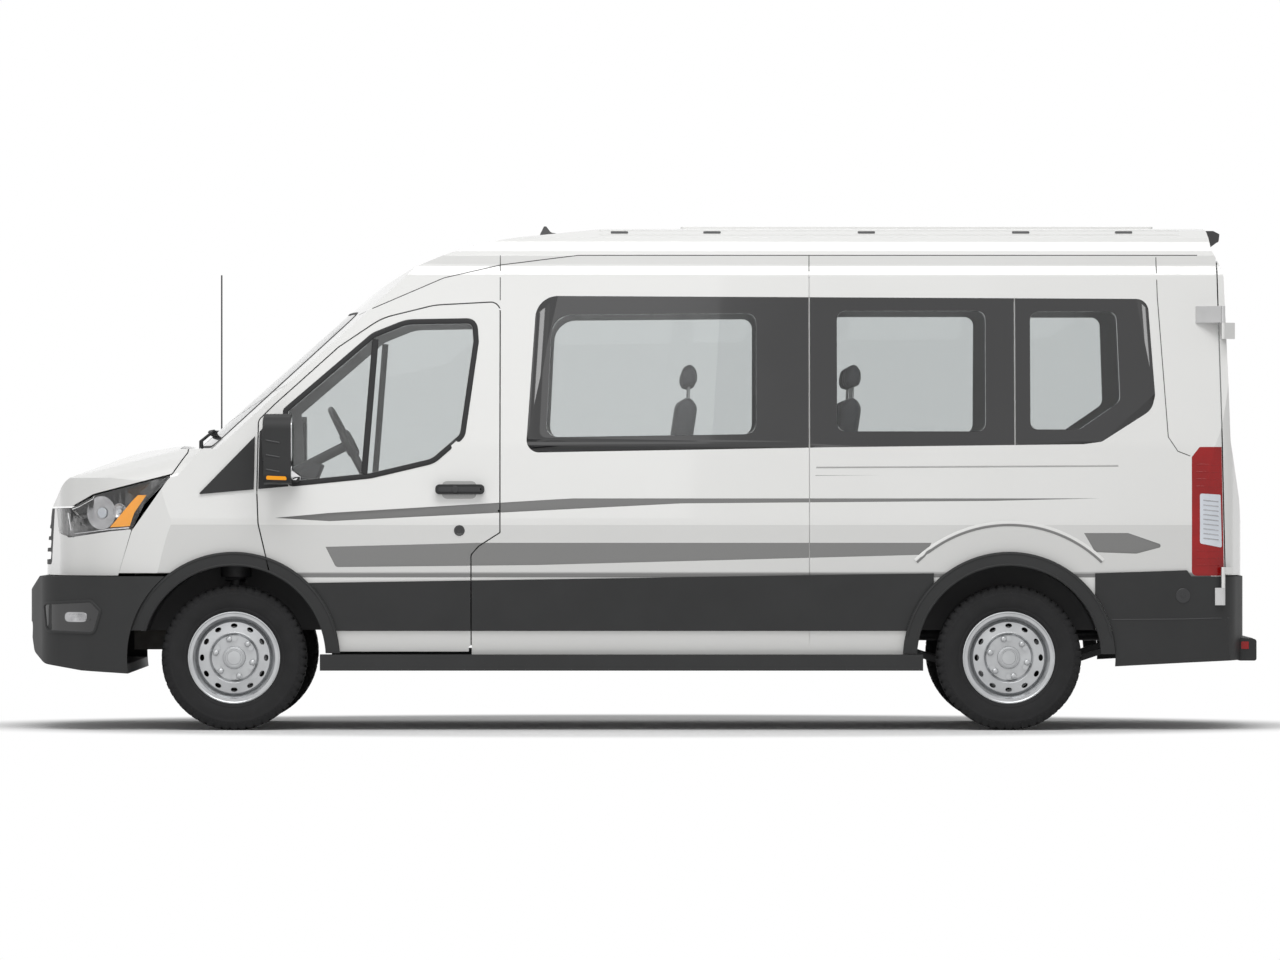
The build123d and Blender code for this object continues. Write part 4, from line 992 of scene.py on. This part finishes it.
def valve_mesh():
    """Rubber valve with its cap, near the rim."""
    bm = bmesh.new()
    place = Matrix.Translation(Vector((0, -190, 52)) * MM) @ Matrix.Rotation(math.radians(24), 4, "X")
    lathe(bm, ((0, 0), (5.5, 0), (5.5, 10), (4, 22), (4.6, 23), (4.6, 34), (3, 36), (0, 36)), place, 16)
    return bm


def make_wheels(sizes):
    """Tyres with their tread in place of the frame's plain ones, and the small parts of each wheel."""
    tyre = bpy.data.meshes.new("tyre")
    made = tyre_mesh(sizes)
    made.to_mesh(tyre)
    extras = bpy.data.meshes.new("extras")
    wheel_extras().to_mesh(extras)
    stem = bpy.data.meshes.new("stem")
    valve_mesh().to_mesh(stem)
    for name, sign in SIDES:
        for axle, x in AXLES:
            body = f"{axle}_wheel_{name}"
            place = wheel_place(x, sign)
            if name == "left":
                place = place @ Matrix.Rotation(math.radians(15), 4, "Z")
            for part, mesh, finish, slot, gone in (
                ("tread_tyre", tyre, "tyre", "tyre", (f"{axle}_tyre_{name}",)),
                ("wheel_fittings", extras, "steel", "wheel_steel", ()),
                ("wheel_valve", stem, "rubber", "tyre", ()),
            ):
                copy = mesh.copy()
                copy.transform(place)
                add(f"{part}_{axle}_{name}", body, finish, copy, replaces=gone)


# Lamps


MARKER = ((-2567, 982), (-2470, 988), (-2448, 1051), (-2388, 1138), (-2429, 1138), (-2460, 1106))
BOWL_PLACES = ((-2612, 1052, 78), (-2522, 1060, 34))
TAIL_LENS = ((2706, 905, 12), (2812, 884, 8), (2806, 1140, 8), (2706, 1146, 12))


def lamp_shell(name):
    """Outer skin and inner tray of the frame's headlamps."""
    halves = []
    for keep_outer in (True, False):
        bm = merged(name)
        gone = []
        for face in bm.faces:
            middle = face.calc_center_median()
            out = Vector((-0.55, math.copysign(0.8, middle.y), 0.25))
            if (face.normal.dot(out) > 0.4) != keep_outer:
                gone.append(face)
        bmesh.ops.delete(bm, geom=gone, context="FACES")
        halves.append(bm)
    return halves


def thickened(bm, depth):
    """Sheet given a thickness behind its faces."""
    front = list(bm.faces)
    moved = {v: bm.verts.new(v.co - v.normal * depth) for v in list(bm.verts)}
    edges = [e for e in bm.edges if len(e.link_faces) == 1]
    for edge in edges:
        a, b = edge.verts
        bm.faces.new((a, b, moved[b], moved[a]))
    for face in front:
        bm.faces.new([moved[v] for v in reversed(face.verts)])


def make_headlamps():
    """Clear lens, black tray, reflector bowls, slanted marker and light strip of the headlamps."""
    lens, tray = lamp_shell("headlamps")
    lens.normal_update()
    thickened(lens, 0.003)
    add("headlamp_lens", "body", "lens", lens, replaces=("headlamps",))
    for face in tray.faces:
        face.normal_flip()
    tray.normal_update()
    thickened(tray, 0.0012)
    add("headlamp_tray", "body", "gloss", tray, replaces=("headlamps",))
    for name, sign in SIDES:
        place = on_side(sign, "headlamps")
        bm = bmesh.new()
        rim = bmesh.new()
        for x, z, radius in BOWL_PLACES:
            spot, normal = place(x * MM, z * MM)
            turn = normal.to_track_quat("Z", "Y").to_matrix().to_4x4()
            seat = Matrix.Translation(spot - normal * 0.024) @ turn
            r = radius
            rows = (
                (0, 1), (r * 0.3, 1.5), (r * 0.75, 6), (r, 15), (r + 3, 15), (r + 3, 12), (r * 0.78, 2),
                (0, -3),
            )
            lathe(bm, rows, seat, 48)
            lathe(rim, ((0, 3), (r * 0.3, 3), (r * 0.34, 7), (r * 0.28, 12), (0, 15)), seat, 32)
        add(f"headlamp_bowls_{name}", "body", "bowl", bm)
        add(f"headlamp_bulbs_{name}", "body", "white_lens", rim)
        bm = bmesh.new()
        slab(bm, place, outline(MARKER), -0.012, 0.006, 0.02)
        add(f"headlamp_marker_{name}", "body", "amber", bm)
        bm = bmesh.new()
        strip(bm, place, outline(((-2775, 1052), (-2760, 965))), bead(0.010, 0.004), step=0.02)
        lower = outline(((-2740, 950, 0), (-2570, 972, 0), (-2470, 980, 0)))
        strip(bm, place, lower, bead(0.007, 0.003), step=0.02)
        lowered(bm, sign, 0.006)
        add(f"headlamp_strip_{name}", "body", "bright", bm)


def lowered(bm, sign, depth):
    """Set a small piece deeper into the body."""
    for vert in bm.verts:
        vert.co.y -= sign * depth


def make_tail_lamps():
    """Clear reversing lens with its ribs, and the red ribs of each tail lamp."""
    for name, sign in SIDES:
        place = on_side(sign, "tail_lamps")
        bm = bmesh.new()
        slab(bm, place, outline(TAIL_LENS), -0.001, 0.003, 0.03)
        add(f"reversing_lens_{name}", "body", "white_lens", bm)
        bm = bmesh.new()
        for row in range(9):
            z = (930 + row * 23) * MM
            strip(bm, place, [Vector((2.722, z)), Vector((2.796, z - 0.008))], bead(0.004, 0.0046), step=0.02)
        add(f"reversing_ribs_{name}", "body", "bowl", bm)
        bm = bmesh.new()
        for z in (800, 835, 870, 1180, 1215, 1250, 1285):
            strip(bm, place, [Vector((2.69, z * MM)), Vector((2.80, z * MM))], bead(0.006, 0.0012), step=0.02)
        add(f"tail_lamp_ribs_{name}", "body", "red", bm)


# Trim of the body


FLARE_LIP = 505
ARCH_LIP = 452
REAR_CREASE = 650
TRACK = ((852, 1272), (2312, 1280))
LOCK_PLACE = (-873, 967)
GRIP_BOSS = (-893, 1166)
RACK_SLOTS = (-100, 350, 1100, 1850, 2350)
RACK_LINE = 752
ROOF_RIDGES = (722, 782)


def arc(x, z, radius, low, high, count=24):
    """Points on part of a circle in side view, in metres."""
    made = []
    for step in range(count + 1):
        a = math.radians(low + (high - low) * step / count)
        made.append(Vector((x + radius * math.cos(a), z + radius * math.sin(a))) * MM)
    return made


def make_flank_trim():
    """Flare lips, sliding-door track, crease over the rear arch, lock discs and handle details; the track and
    the handle recess carry painted shade.
    """
    for name, sign in SIDES:
        clad = on_side(sign, "side_cladding", f"door_trim_{name}")
        bm = bmesh.new()
        for _, x in AXLES:
            strip(bm, clad, arc(x, TYRE_RADIUS, FLARE_LIP, 12, 168), bead(0.010, 0.003))
            strip(bm, clad, arc(x, TYRE_RADIUS, ARCH_LIP, 8, 172), bead(0.008, 0.0025))
        add(f"flare_lips_{name}", "body", "plastic", bm)
        flank = on_side(sign, "side_left", "side_right", "sliding_door", "fenders")
        door = on_side(sign, f"front_door_{name}")
        bm = bmesh.new()
        strip(bm, flank, scaled(TRACK), bead(0.008, 0.002))
        # The track is a low bead in darkened paint: painted shade of its groove.
        add(f"sliding_track_{name}", "body", "crease", bm)
        bm = bmesh.new()
        crease = arc(AXLES[1][1], TYRE_RADIUS, REAR_CREASE, 46, 134, 36)
        strip(bm, flank, crease, bead(0.026, 0.004), step=0.02)
        add(f"arch_creases_{name}", "body", "paint", bm)
        bm = bmesh.new()
        rows = ((0, 0), (24, 0), (26, 1.5), (23, 4), (13, 3), (12, 6), (0, 6.5))
        lathe(bm, rows, disc_seat(door, *LOCK_PLACE), 32)
        add(f"door_lock_{name}", f"front_door_{name}", "gloss", bm)
        bm = bmesh.new()
        trim = on_side(sign, f"door_trim_{name}", f"front_door_{name}")
        slab(bm, trim, rectangle(-975, -766, 1154, 1178, 12), 0, 0.004, 0.03)
        lathe(bm, ((0, 0), (17, 0), (18, 3), (15, 6), (0, 6.5)), disc_seat(trim, *GRIP_BOSS), 28)
        add(f"handle_grip_{name}", f"front_door_{name}", "satin", bm, bevel=0.0015)
        bm = bmesh.new()
        # Painted shade: a thin sheet of darkened paint in the handle recess.
        slab(bm, door, rectangle(-958, -790, 1120, 1206, 30), 0.0003, 0.0007)
        add(f"handle_recess_painted_shade_{name}", f"front_door_{name}", "crease", bm)


def disc_seat(place, x, z):
    """Matrix of a round piece that lies on a surface."""
    spot, normal = place(x * MM, z * MM)
    return Matrix.Translation(spot) @ normal.to_track_quat("Z", "Y").to_matrix().to_4x4()


MIRROR_GLASSES = (
    ((1092, 1305, 30), (1215, 1300, 30), (1224, 1490, 40), (1104, 1525, 40)),
    ((1092, 1210, 20), (1212, 1218, 20), (1214, 1282, 20), (1092, 1286, 20)),
)
MIRROR_CAP = ((1100, 1300, 30), (1216, 1306, 30), (1222, 1480, 50), (1108, 1530, 50))
INDICATOR = ((-1800, 1215, 8), (-1700, 1212, 8), (-1704, 1228, 8), (-1798, 1232, 8))


def make_mirrors():
    """Mirror glass, face cap, indicator and patch bars of each door mirror."""
    for name, sign in SIDES:
        back = on_back(f"mirror_{name}")
        front = on_front(f"mirror_{name}")
        bm = bmesh.new()
        for rows in MIRROR_GLASSES:
            slab(bm, back, mirrored(sign, rows), 0.0005, 0.002, 0.03)
        add(f"mirror_glass_{name}", f"front_door_{name}", "bright", bm)
        bm = bmesh.new()
        slab(bm, front, mirrored(sign, MIRROR_CAP), -0.001, 0.006, 0.03)
        add(f"mirror_cap_{name}", f"front_door_{name}", "satin", bm, bevel=0.003)
        bm = bmesh.new()
        outer = on_side(sign, f"mirror_{name}")
        slab(bm, outer, outline(INDICATOR), 0, 0.003, 0.02)
        add(f"mirror_indicator_{name}", f"front_door_{name}", "amber", bm)
        bm = bmesh.new()
        patch = on_side(sign, f"mirror_{name}", f"front_door_{name}")
        for z in (1250, 1320, 1390):
            strip(bm, patch, scaled(((-1802, z + 12), (-1735, z))), bead(0.008, 0.003), step=0.02)
        add(f"patch_bars_{name}", f"front_door_{name}", "satin", bm)


FOG_RECESS = ((-2895, 612, 20), (-2655, 626, 30), (-2608, 578, 20), (-2640, 468, 30), (-2880, 476, 30))
FOG_LAMP = ((-2786, 572, 24), (-2675, 572, 24), (-2675, 523, 24), (-2786, 523, 24))
SENSOR_PLACE = (2625, 652)
BUMPER_LINE = ((2283, 535), (2625, 538), (2880, 545))


def make_bumpers():
    """Fog lamps, grille bars, sensors, reflectors, step tread, high stop lamp and blank plates."""
    for name, sign in SIDES:
        place = on_side(sign, "front_bumper")
        bm = bmesh.new()
        strip(bm, place, outline(FOG_RECESS), bead(0.014, 0.006), closed=True, step=0.03)
        add(f"fog_surround_{name}", "body", "plastic", bm)
        bm = bmesh.new()
        slab(bm, place, outline(FOG_RECESS), -0.0004, 0.0012, 0.03)
        add(f"fog_recess_{name}", "body", "gloss", bm)
        bm = bmesh.new()
        slab(bm, place, outline(FOG_LAMP), 0, 0.004, 0.02)
        add(f"fog_lamp_{name}", "body", "bowl", bm, bevel=0.002)
        bm = bmesh.new()
        for x, z in ((-2760, 560), (-2740, 547), (-2720, 535)):
            strip(bm, place, scaled(((x, z), (x + 60, z))), bead(0.004, 0.0065), step=0.02)
        add(f"fog_lamp_ribs_{name}", "body", "lens", bm)
        rear = on_side(sign, "rear_bumper")
        bm = bmesh.new()
        rows = ((0, 0), (34, 0), (36, 2), (34, 3.5), (11, 2.6), (10, 4), (0, 4.2))
        lathe(bm, rows, disc_seat(rear, *SENSOR_PLACE), 36)
        strip(bm, rear, scaled(BUMPER_LINE), bead(0.006, 0.002))
        add(f"rear_sensor_{name}", "body", "satin", bm)
        bm = bmesh.new()
        slab(bm, rear, rectangle(2915, 2952, 392, 428, 4), 0, 0.003, 0.02)
        add(f"rear_reflector_{name}", "body", "red", bm)
    bm = bmesh.new()
    slab(bm, on_front("front_bumper"), rectangle(-150, 150, 540, 648, 6), 0.001, 0.002, 0.05)
    add("front_plate", "body", "plate", bm)
    bm = bmesh.new()
    plate = [p - Vector((0.3, 0)) for p in rectangle(-150, 150, 800, 950, 6)]
    slab(bm, on_back("rear_door_left"), plate, 0.001, 0.002, 0.05)
    add("rear_plate", "rear_door_left", "plate", bm)
    bm = bmesh.new()
    nose = on_front("grille", "front_fascia")
    for row in range(4):
        z = (842 + row * 57) * MM
        strip(bm, nose, [Vector((-0.49, z)), Vector((0.49, z))], bead(0.012, 0.004), step=0.05)
    add("grille_bars", "body", "satin", bm)
    rows = ((2956, 440.4), (2956, 443.4), (2976, 443.4), (2976, 440.4))
    tread = block_of(scaled(rows), -0.012, 0.012, lambda u, v, w: Vector((u, w - 0.78, v)))
    mesh = repeated(tread, 40, (0, 0.04, 0), "satin", kind="copies_row")
    add("step_tread", "body", "satin", mesh)
    bm = bmesh.new()
    slab(bm, on_back("roof_fittings"), rectangle(-120, 120, 2382, 2402, 6), 0, 0.002, 0.02)
    add("high_stop_lamp", "body", "red", bm)


def make_roof_trim():
    """Rack fixing covers and side ridges of the roof."""
    for name, sign in SIDES:
        top = on_top("roof", "side_left", "side_right")
        bm = bmesh.new()
        for x in RACK_SLOTS:
            y = sign * RACK_LINE
            slab(bm, top, rectangle(x - 42, x + 42, y - 12, y + 12, 8), 0.0005, 0.003, 0.03)
        add(f"rack_covers_{name}", "body", "satin", bm, bevel=0.001)
        bm = bmesh.new()
        for y in ROOF_RIDGES:
            strip(bm, top, scaled(((-200, sign * y), (2620, sign * y))), bead(0.012, 0.003))
        add(f"roof_ridges_{name}", "body", "paint", bm)


def make_wipers():
    """Rubber blades of the two wipers."""
    screen = on_front("windscreen", "side_left", "side_right")
    profile = (
        (-0.003, -0.003), (-0.007, 0.012), (-0.005, 0.03), (0.005, 0.03), (0.007, 0.012), (0.003, -0.003),
    )
    bm = bmesh.new()
    for start, end in ((-640, 60), (200, 800)):
        spots = [screen(y * MM, 1425 * MM) for y in (start + (end - start) * k / 12 for k in range(13))]
        spots = [(p + n * 0.004, n) for p, n in spots]
        sweep(bm, spots, profile)
    add("wiper_blades", "body", "rubber", bm)


# Seats


SEATS = ((-700, (-430, 430)), (244, (-670, -222, 560)), (1040, (-670, -222, 560)), (1836, (-460, 0, 460)))
FLOOR_TOP = 620
PAD_WIDTH = 436
HEADREST_WIDTH = 270
PAD_CAP = 0.012
HEADREST_CAP = 0.008
CUSHION = (
    (-562, 352, 30), (-570, 432, 45), (-470, 446, 60), (-215, 424, 40), (-150, 400, 30), (-150, 352, 30),
)
BACK = (
    (-128, 420, 30), (-60, 392, 30), (-52, 440, 30), (30, 985, 50), (-8, 1012, 30), (-56, 985, 40),
    (-110, 640, 90),
)
HEADREST = ((-52, 1038, 30), (-42, 1140, 34), (6, 1162, 26), (38, 1120, 40), (32, 1042, 30))


def pad_block(rows, width, inset=0.012):
    """Starting block of a pad: its side profile drawn across the seat with rounded ends."""
    bm = bmesh.new()
    points = outline(rows, 5)
    middle = sum(points, Vector((0, 0))) / len(points)
    rings = []
    half = width * MM / 2
    for y, pull in ((-half, inset * 2.4), (-half + inset, inset * 0.7), (-half + inset * 3, 0),
                    (0, 0), (half - inset * 3, 0), (half - inset, inset * 0.7), (half, inset * 2.4)):
        ring = []
        for point in points:
            spot = point + (middle - point).normalized() * (pull + inset * 0.5)
            ring.append(bm.verts.new((spot[0], y, spot[1])))
        rings.append(ring)
    ring_faces(bm, rings)
    bmesh.ops.recalc_face_normals(bm, faces=bm.faces)
    return bm


def swollen(name, bm, cap, voxel=0.011, frames=14):
    """Pad swollen by a cloth simulation; the cap, which the large pads reach all over, ends each move."""
    mesh = bpy.data.meshes.new(name)
    bm.to_mesh(mesh)
    bm.free()
    thing = bpy.data.objects.new(name, mesh)
    bpy.context.scene.collection.objects.link(thing)
    remesh = thing.modifiers.new("Remesh", "REMESH")
    remesh.mode = "VOXEL"
    remesh.voxel_size = voxel
    mesh = plain_mesh(thing)
    start = [v.co.copy() for v in mesh.vertices]
    thing = bpy.data.objects.new(name, mesh)
    bpy.context.scene.collection.objects.link(thing)
    cloth = thing.modifiers.new("Cloth", "CLOTH")
    cloth.settings.use_pressure = True
    cloth.settings.uniform_pressure_force = 4
    cloth.settings.effector_weights.gravity = 0
    cloth.point_cache.frame_start = 1
    cloth.point_cache.frame_end = frames
    for step in range(1, frames + 1):
        bpy.context.scene.frame_set(step)
    made = plain_mesh(thing)
    bpy.context.scene.frame_set(1)
    for vert, rest in zip(made.vertices, start):
        way = vert.co - rest
        if way.length > cap:
            vert.co = rest + way * (cap / way.length)
    return made


def seamed(mesh, lines, depth, width=0.016):
    """Press sewn channels into a pad; each line gives the distance of a point from its seam."""
    for vert in mesh.vertices:
        for line in lines:
            far = abs(line(vert.co))
            if far < width:
                fall = (1 - far / width) ** 2 * depth
                vert.co -= vert.normal * fall
    return mesh


def make_seats():
    """Eleven padded seats, each a cushion, a back and a headrest on a base, in place of the plain ones."""
    cushion = seamed(swollen("cushion", pad_block(CUSHION, PAD_WIDTH), PAD_CAP), (
        lambda p: p.y - 0.125, lambda p: p.y + 0.125,
        lambda p: p.x + 0.33 if abs(p.y) < 0.125 else 1,
    ), 0.007)
    back = seamed(swollen("back", pad_block(BACK, PAD_WIDTH), PAD_CAP), (
        lambda p: p.y - 0.12, lambda p: p.y + 0.12,
        lambda p: p.z - 0.62 if abs(p.y) < 0.12 else 1,
        lambda p: p.z - 0.83 if abs(p.y) < 0.12 else 1,
    ), 0.007)
    block = pad_block(HEADREST, HEADREST_WIDTH, 0.01)
    rest = seamed(swollen("headrest", block, HEADREST_CAP, 0.009), (lambda p: p.z - 1.06,), 0.003, 0.008)
    count = 0
    bases = bmesh.new()
    posts = bmesh.new()
    for x, places in SEATS:
        for y in places:
            count += 1
            shift = Matrix.Translation(Vector((x, y, FLOOR_TOP)) * MM)
            for part, mesh in (("cushion", cushion), ("back", back), ("headrest", rest)):
                copy = mesh.copy()
                copy.transform(shift)
                label = f"seat_{part}_{count}"
                piece = add(label, "body", "fabric", copy, replaces=("seats",))
            seat_base(bases, x, y)
            for side in (-1, 1):
                foot = Vector((x - 8, y + side * 62, FLOOR_TOP + 985)) * MM
                pipe(posts, (foot, foot + Vector((0.004, 0, 0.09))), 0.006)
    add("seat_bases", "body", "lining", bases, bevel=0.004, replaces=("seats",))
    add("headrest_posts", "body", "hinge", posts)


def seat_base(bm, x, y):
    """Plinth, side valances and floor rails of one seat."""
    shapes = (
        (((-480, 0), (-150, 0), (-165, 330), (-500, 335)), 120),
        (((-560, 335), (-140, 330), (-60, 395), (-70, 345), (-150, 318), (-545, 322)), 205),
        (((-500, 2), (-130, 2), (-130, 16), (-500, 16)), 160),
    )
    for rows, half in shapes:
        points = [Vector((x + u, FLOOR_TOP + v)) * MM for u, v in rows]
        part = block_of(points, (y - half) * MM, (y + half) * MM, lambda u, v, w: Vector((u, w, v)))
        mesh = bpy.data.meshes.new("work")
        bmesh.ops.recalc_face_normals(part, faces=part.faces)
        part.to_mesh(mesh)
        part.free()
        bm.from_mesh(mesh)


# Cabin


STEERING_CENTRE = (-1425, -430, 1385)
STEERING_TILT = 27


def make_cabin():
    """Instrument hood, screens, vents and glovebox line of the dashboard; pad and rim of the wheel."""
    face = placer(surface("dashboard"), lambda u, v: Vector((2, u, v)), (-1, 0, 0))
    bm = bmesh.new()
    slab(bm, face, rectangle(-140, 140, 1085, 1170, 14), 0, 0.006, 0.03)
    slab(bm, face, rectangle(-560, -300, 1120, 1180, 20), 0, 0.004, 0.03)
    add("dash_screens", "body", "gloss", bm)
    bm = bmesh.new()
    for middle in (-790, -220, 220, 790):
        for row in range(4):
            z = (1090 + row * 20) * MM
            ends = [Vector(((middle + side) * MM, z)) for side in (-55, 55)]
            strip(bm, face, ends, bead(0.008, 0.006), step=0.03)
    strip(bm, face, rectangle(270, 720, 930, 1060, 20), bead(0.006, 0.003), True)
    add("dash_vents", "body", "satin", bm)
    bm = bmesh.new()
    rows = ((-1700, 1236), (-1600, 1300), (-1545, 1285), (-1580, 1200), (-1640, 1215))
    hood = block_of(scaled(rows), -0.58, -0.28, lambda u, v, w: Vector((u, w, v)))
    add("instrument_hood", "body", "lining", hood, bevel=0.01)
    turn = math.pi / 2 - math.radians(STEERING_TILT)
    seat = Matrix.Translation(Vector(STEERING_CENTRE) * MM) @ Matrix.Rotation(turn, 4, "Y")
    lathe(bm, ((0, 34), (50, 32), (68, 24), (70, 12), (58, 6), (0, 6)), seat, 40)
    rim = ((200, 11), (202, 0), (200, -11), (188, -16), (178, -8), (178, 8), (188, 16))
    lathe(bm, rim, seat, 64, closed=True)
    add("steering_pad", "steering_wheel", "lining", bm)


# Underneath


def helix(middle, radius, low, high, turns, steps=14):
    """Points of a coil spring."""
    count = turns * steps
    made = []
    for k in range(count + 1):
        a = 2 * math.pi * k / steps
        height = low + (high - low) * k / count
        spot = Vector((middle[0] + radius * math.cos(a), middle[1] + radius * math.sin(a), height))
        made.append(spot * MM)
    return made


def make_underbody():
    """Strut springs, axle clamps, rings round the exhaust and tank straps."""
    bm = bmesh.new()
    for _, sign in SIDES:
        pipe(bm, helix((-1965, sign * 690), 50, 716, 786, 3), 0.0065, 8)
    add("strut_springs", "body", "chassis", bm)
    bm = bmesh.new()
    for _, sign in SIDES:
        for x in (1745, 1825):
            y = sign * 489
            points = [(x, y - 42, 296), (x, y - 42, 400), (x, y + 42, 400), (x, y + 42, 296)]
            pipe(bm, scaled(points), 0.008, 8)
    for x in (-90, 490):
        lathe(bm, ((84, -5), (89, -5), (89, 5), (84, 5)), pipe_seat(x), 40, closed=True)
    add("axle_clamps", "body", "iron", bm)
    bm = bmesh.new()
    for x in (-380, 260):
        rows = ((-884, 326), (-884, 556), (-556, 556), (-556, 326))
        spots = [Vector((x * MM, y * MM, z * MM)) for y, z in rows]
        middle = sum(spots, Vector()) / 4
        band = ((-0.02, -0.001), (-0.02, 0.002), (0.02, 0.002), (0.02, -0.001))
        sweep(bm, [(p, (p - middle).normalized()) for p in spots], band, True)
    add("tank_straps", "body", "chassis", bm)


def pipe_seat(x):
    """Matrix of a ring round the exhaust."""
    return Matrix.Translation(Vector((x, 640, 440)) * MM) @ Matrix.Rotation(math.pi / 2, 4, "Y")


# Operators and panel


class Step:
    """What every operator of the van shares"""

    bl_options = {"REGISTER"}

    def execute(self, context):
        self.make(context.scene.van_sizes, context.scene.van_colours)
        return {"FINISHED"}


class VAN_OT_stage(Step, bpy.types.Operator):
    """Floor, world, lamps and the camera of the photograph"""

    bl_idname = "van.stage"
    bl_label = "Stage"

    def make(self, sizes, colours):
        make_stage(sizes)


class VAN_OT_finishes(Step, bpy.types.Operator):
    """Finishes, and their place on the panels of the frame"""

    bl_idname = "van.finishes"
    bl_label = "Finishes"

    def make(self, sizes, colours):
        make_finishes(colours)
        finish_frame()


class VAN_OT_glass(Step, bpy.types.Operator):
    """Windscreen, side glass and rear windows with their black borders"""

    bl_idname = "van.glass"
    bl_label = "Glass"

    def make(self, sizes, colours):
        make_glass()


class VAN_OT_seals(Step, bpy.types.Operator):
    """Rubber round the panes and the seams of the panels"""

    bl_idname = "van.seals"
    bl_label = "Seals and seams"

    def make(self, sizes, colours):
        make_seals(sizes)


class VAN_OT_wheels(Step, bpy.types.Operator):
    """Tyres with their tread, wheel nuts, caps and valves"""

    bl_idname = "van.wheels"
    bl_label = "Wheels and tyres"

    def make(self, sizes, colours):
        make_wheels(sizes)


class VAN_OT_headlamps(Step, bpy.types.Operator):
    """Headlamps with their bowls and markers"""

    bl_idname = "van.headlamps"
    bl_label = "Headlamps"

    def make(self, sizes, colours):
        make_headlamps()


class VAN_OT_tail_lamps(Step, bpy.types.Operator):
    """Tail lamps with their clear lenses"""

    bl_idname = "van.tail_lamps"
    bl_label = "Tail lamps"

    def make(self, sizes, colours):
        make_tail_lamps()


class VAN_OT_flank_trim(Step, bpy.types.Operator):
    """Trim of the flanks: lips, track, handles and locks"""

    bl_idname = "van.flank_trim"
    bl_label = "Side trim"

    def make(self, sizes, colours):
        make_flank_trim()


class VAN_OT_mirrors(Step, bpy.types.Operator):
    """Glass, caps and indicators of the door mirrors"""

    bl_idname = "van.mirrors"
    bl_label = "Mirrors"

    def make(self, sizes, colours):
        make_mirrors()


class VAN_OT_bumpers(Step, bpy.types.Operator):
    """Fog lamps, grille, sensors, reflectors, step and plates"""

    bl_idname = "van.bumpers"
    bl_label = "Bumpers and grille"

    def make(self, sizes, colours):
        make_bumpers()


class VAN_OT_roof_trim(Step, bpy.types.Operator):
    """Rack fixing covers and ridges of the roof"""

    bl_idname = "van.roof_trim"
    bl_label = "Roof trim"

    def make(self, sizes, colours):
        make_roof_trim()


class VAN_OT_wipers(Step, bpy.types.Operator):
    """Blades of the wipers"""

    bl_idname = "van.wipers"
    bl_label = "Wipers"

    def make(self, sizes, colours):
        make_wipers()


class VAN_OT_seats(Step, bpy.types.Operator):
    """Padded seats on their bases"""

    bl_idname = "van.seats"
    bl_label = "Seats"

    def make(self, sizes, colours):
        make_seats()


class VAN_OT_cabin(Step, bpy.types.Operator):
    """Details of the dashboard and the steering wheel"""

    bl_idname = "van.cabin"
    bl_label = "Cabin"

    def make(self, sizes, colours):
        make_cabin()


class VAN_OT_underbody(Step, bpy.types.Operator):
    """Springs, clamps and straps below the floor"""

    bl_idname = "van.underbody"
    bl_label = "Underbody"

    def make(self, sizes, colours):
        make_underbody()


OPERATORS = (
    VAN_OT_stage, VAN_OT_finishes, VAN_OT_glass, VAN_OT_seals, VAN_OT_wheels, VAN_OT_headlamps,
    VAN_OT_tail_lamps, VAN_OT_flank_trim, VAN_OT_mirrors, VAN_OT_bumpers, VAN_OT_roof_trim,
    VAN_OT_wipers, VAN_OT_seats, VAN_OT_cabin, VAN_OT_underbody,
)


class VAN_PT_panel(bpy.types.Panel):
    """Sizes, colours and steps of the van"""

    bl_label = "Passenger van"
    bl_idname = "VAN_PT_panel"
    bl_space_type = "VIEW_3D"
    bl_region_type = "UI"
    bl_category = "Van"

    def draw(self, context):
        layout = self.layout
        for group in (context.scene.van_sizes, context.scene.van_colours):
            for name in group.__annotations__:
                layout.prop(group, name)
        for operator in OPERATORS:
            layout.operator(operator.bl_idname)


CLASSES = (VanSizes, VanColours, *OPERATORS, VAN_PT_panel)


def register():
    for item in CLASSES:
        bpy.utils.register_class(item)
    bpy.types.Scene.van_sizes = bpy.props.PointerProperty(type=VanSizes)
    bpy.types.Scene.van_colours = bpy.props.PointerProperty(type=VanColours)


def unregister():
    del bpy.types.Scene.van_colours
    del bpy.types.Scene.van_sizes
    for item in reversed(CLASSES):
        bpy.utils.unregister_class(item)


def main():
    register()
    for operator in OPERATORS:
        group, name = operator.bl_idname.split(".")
        getattr(getattr(bpy.ops, group), name)()
    sizes = {"cad": CAD_BOX, "visual": [list(corner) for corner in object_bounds()]}
    sizes["cad"] = [[float(x) for x in corner] for corner in sizes["cad"]]
    sizes["visual"] = [[float(x) for x in corner] for corner in sizes["visual"]]


if __name__ == "__main__":
    main()
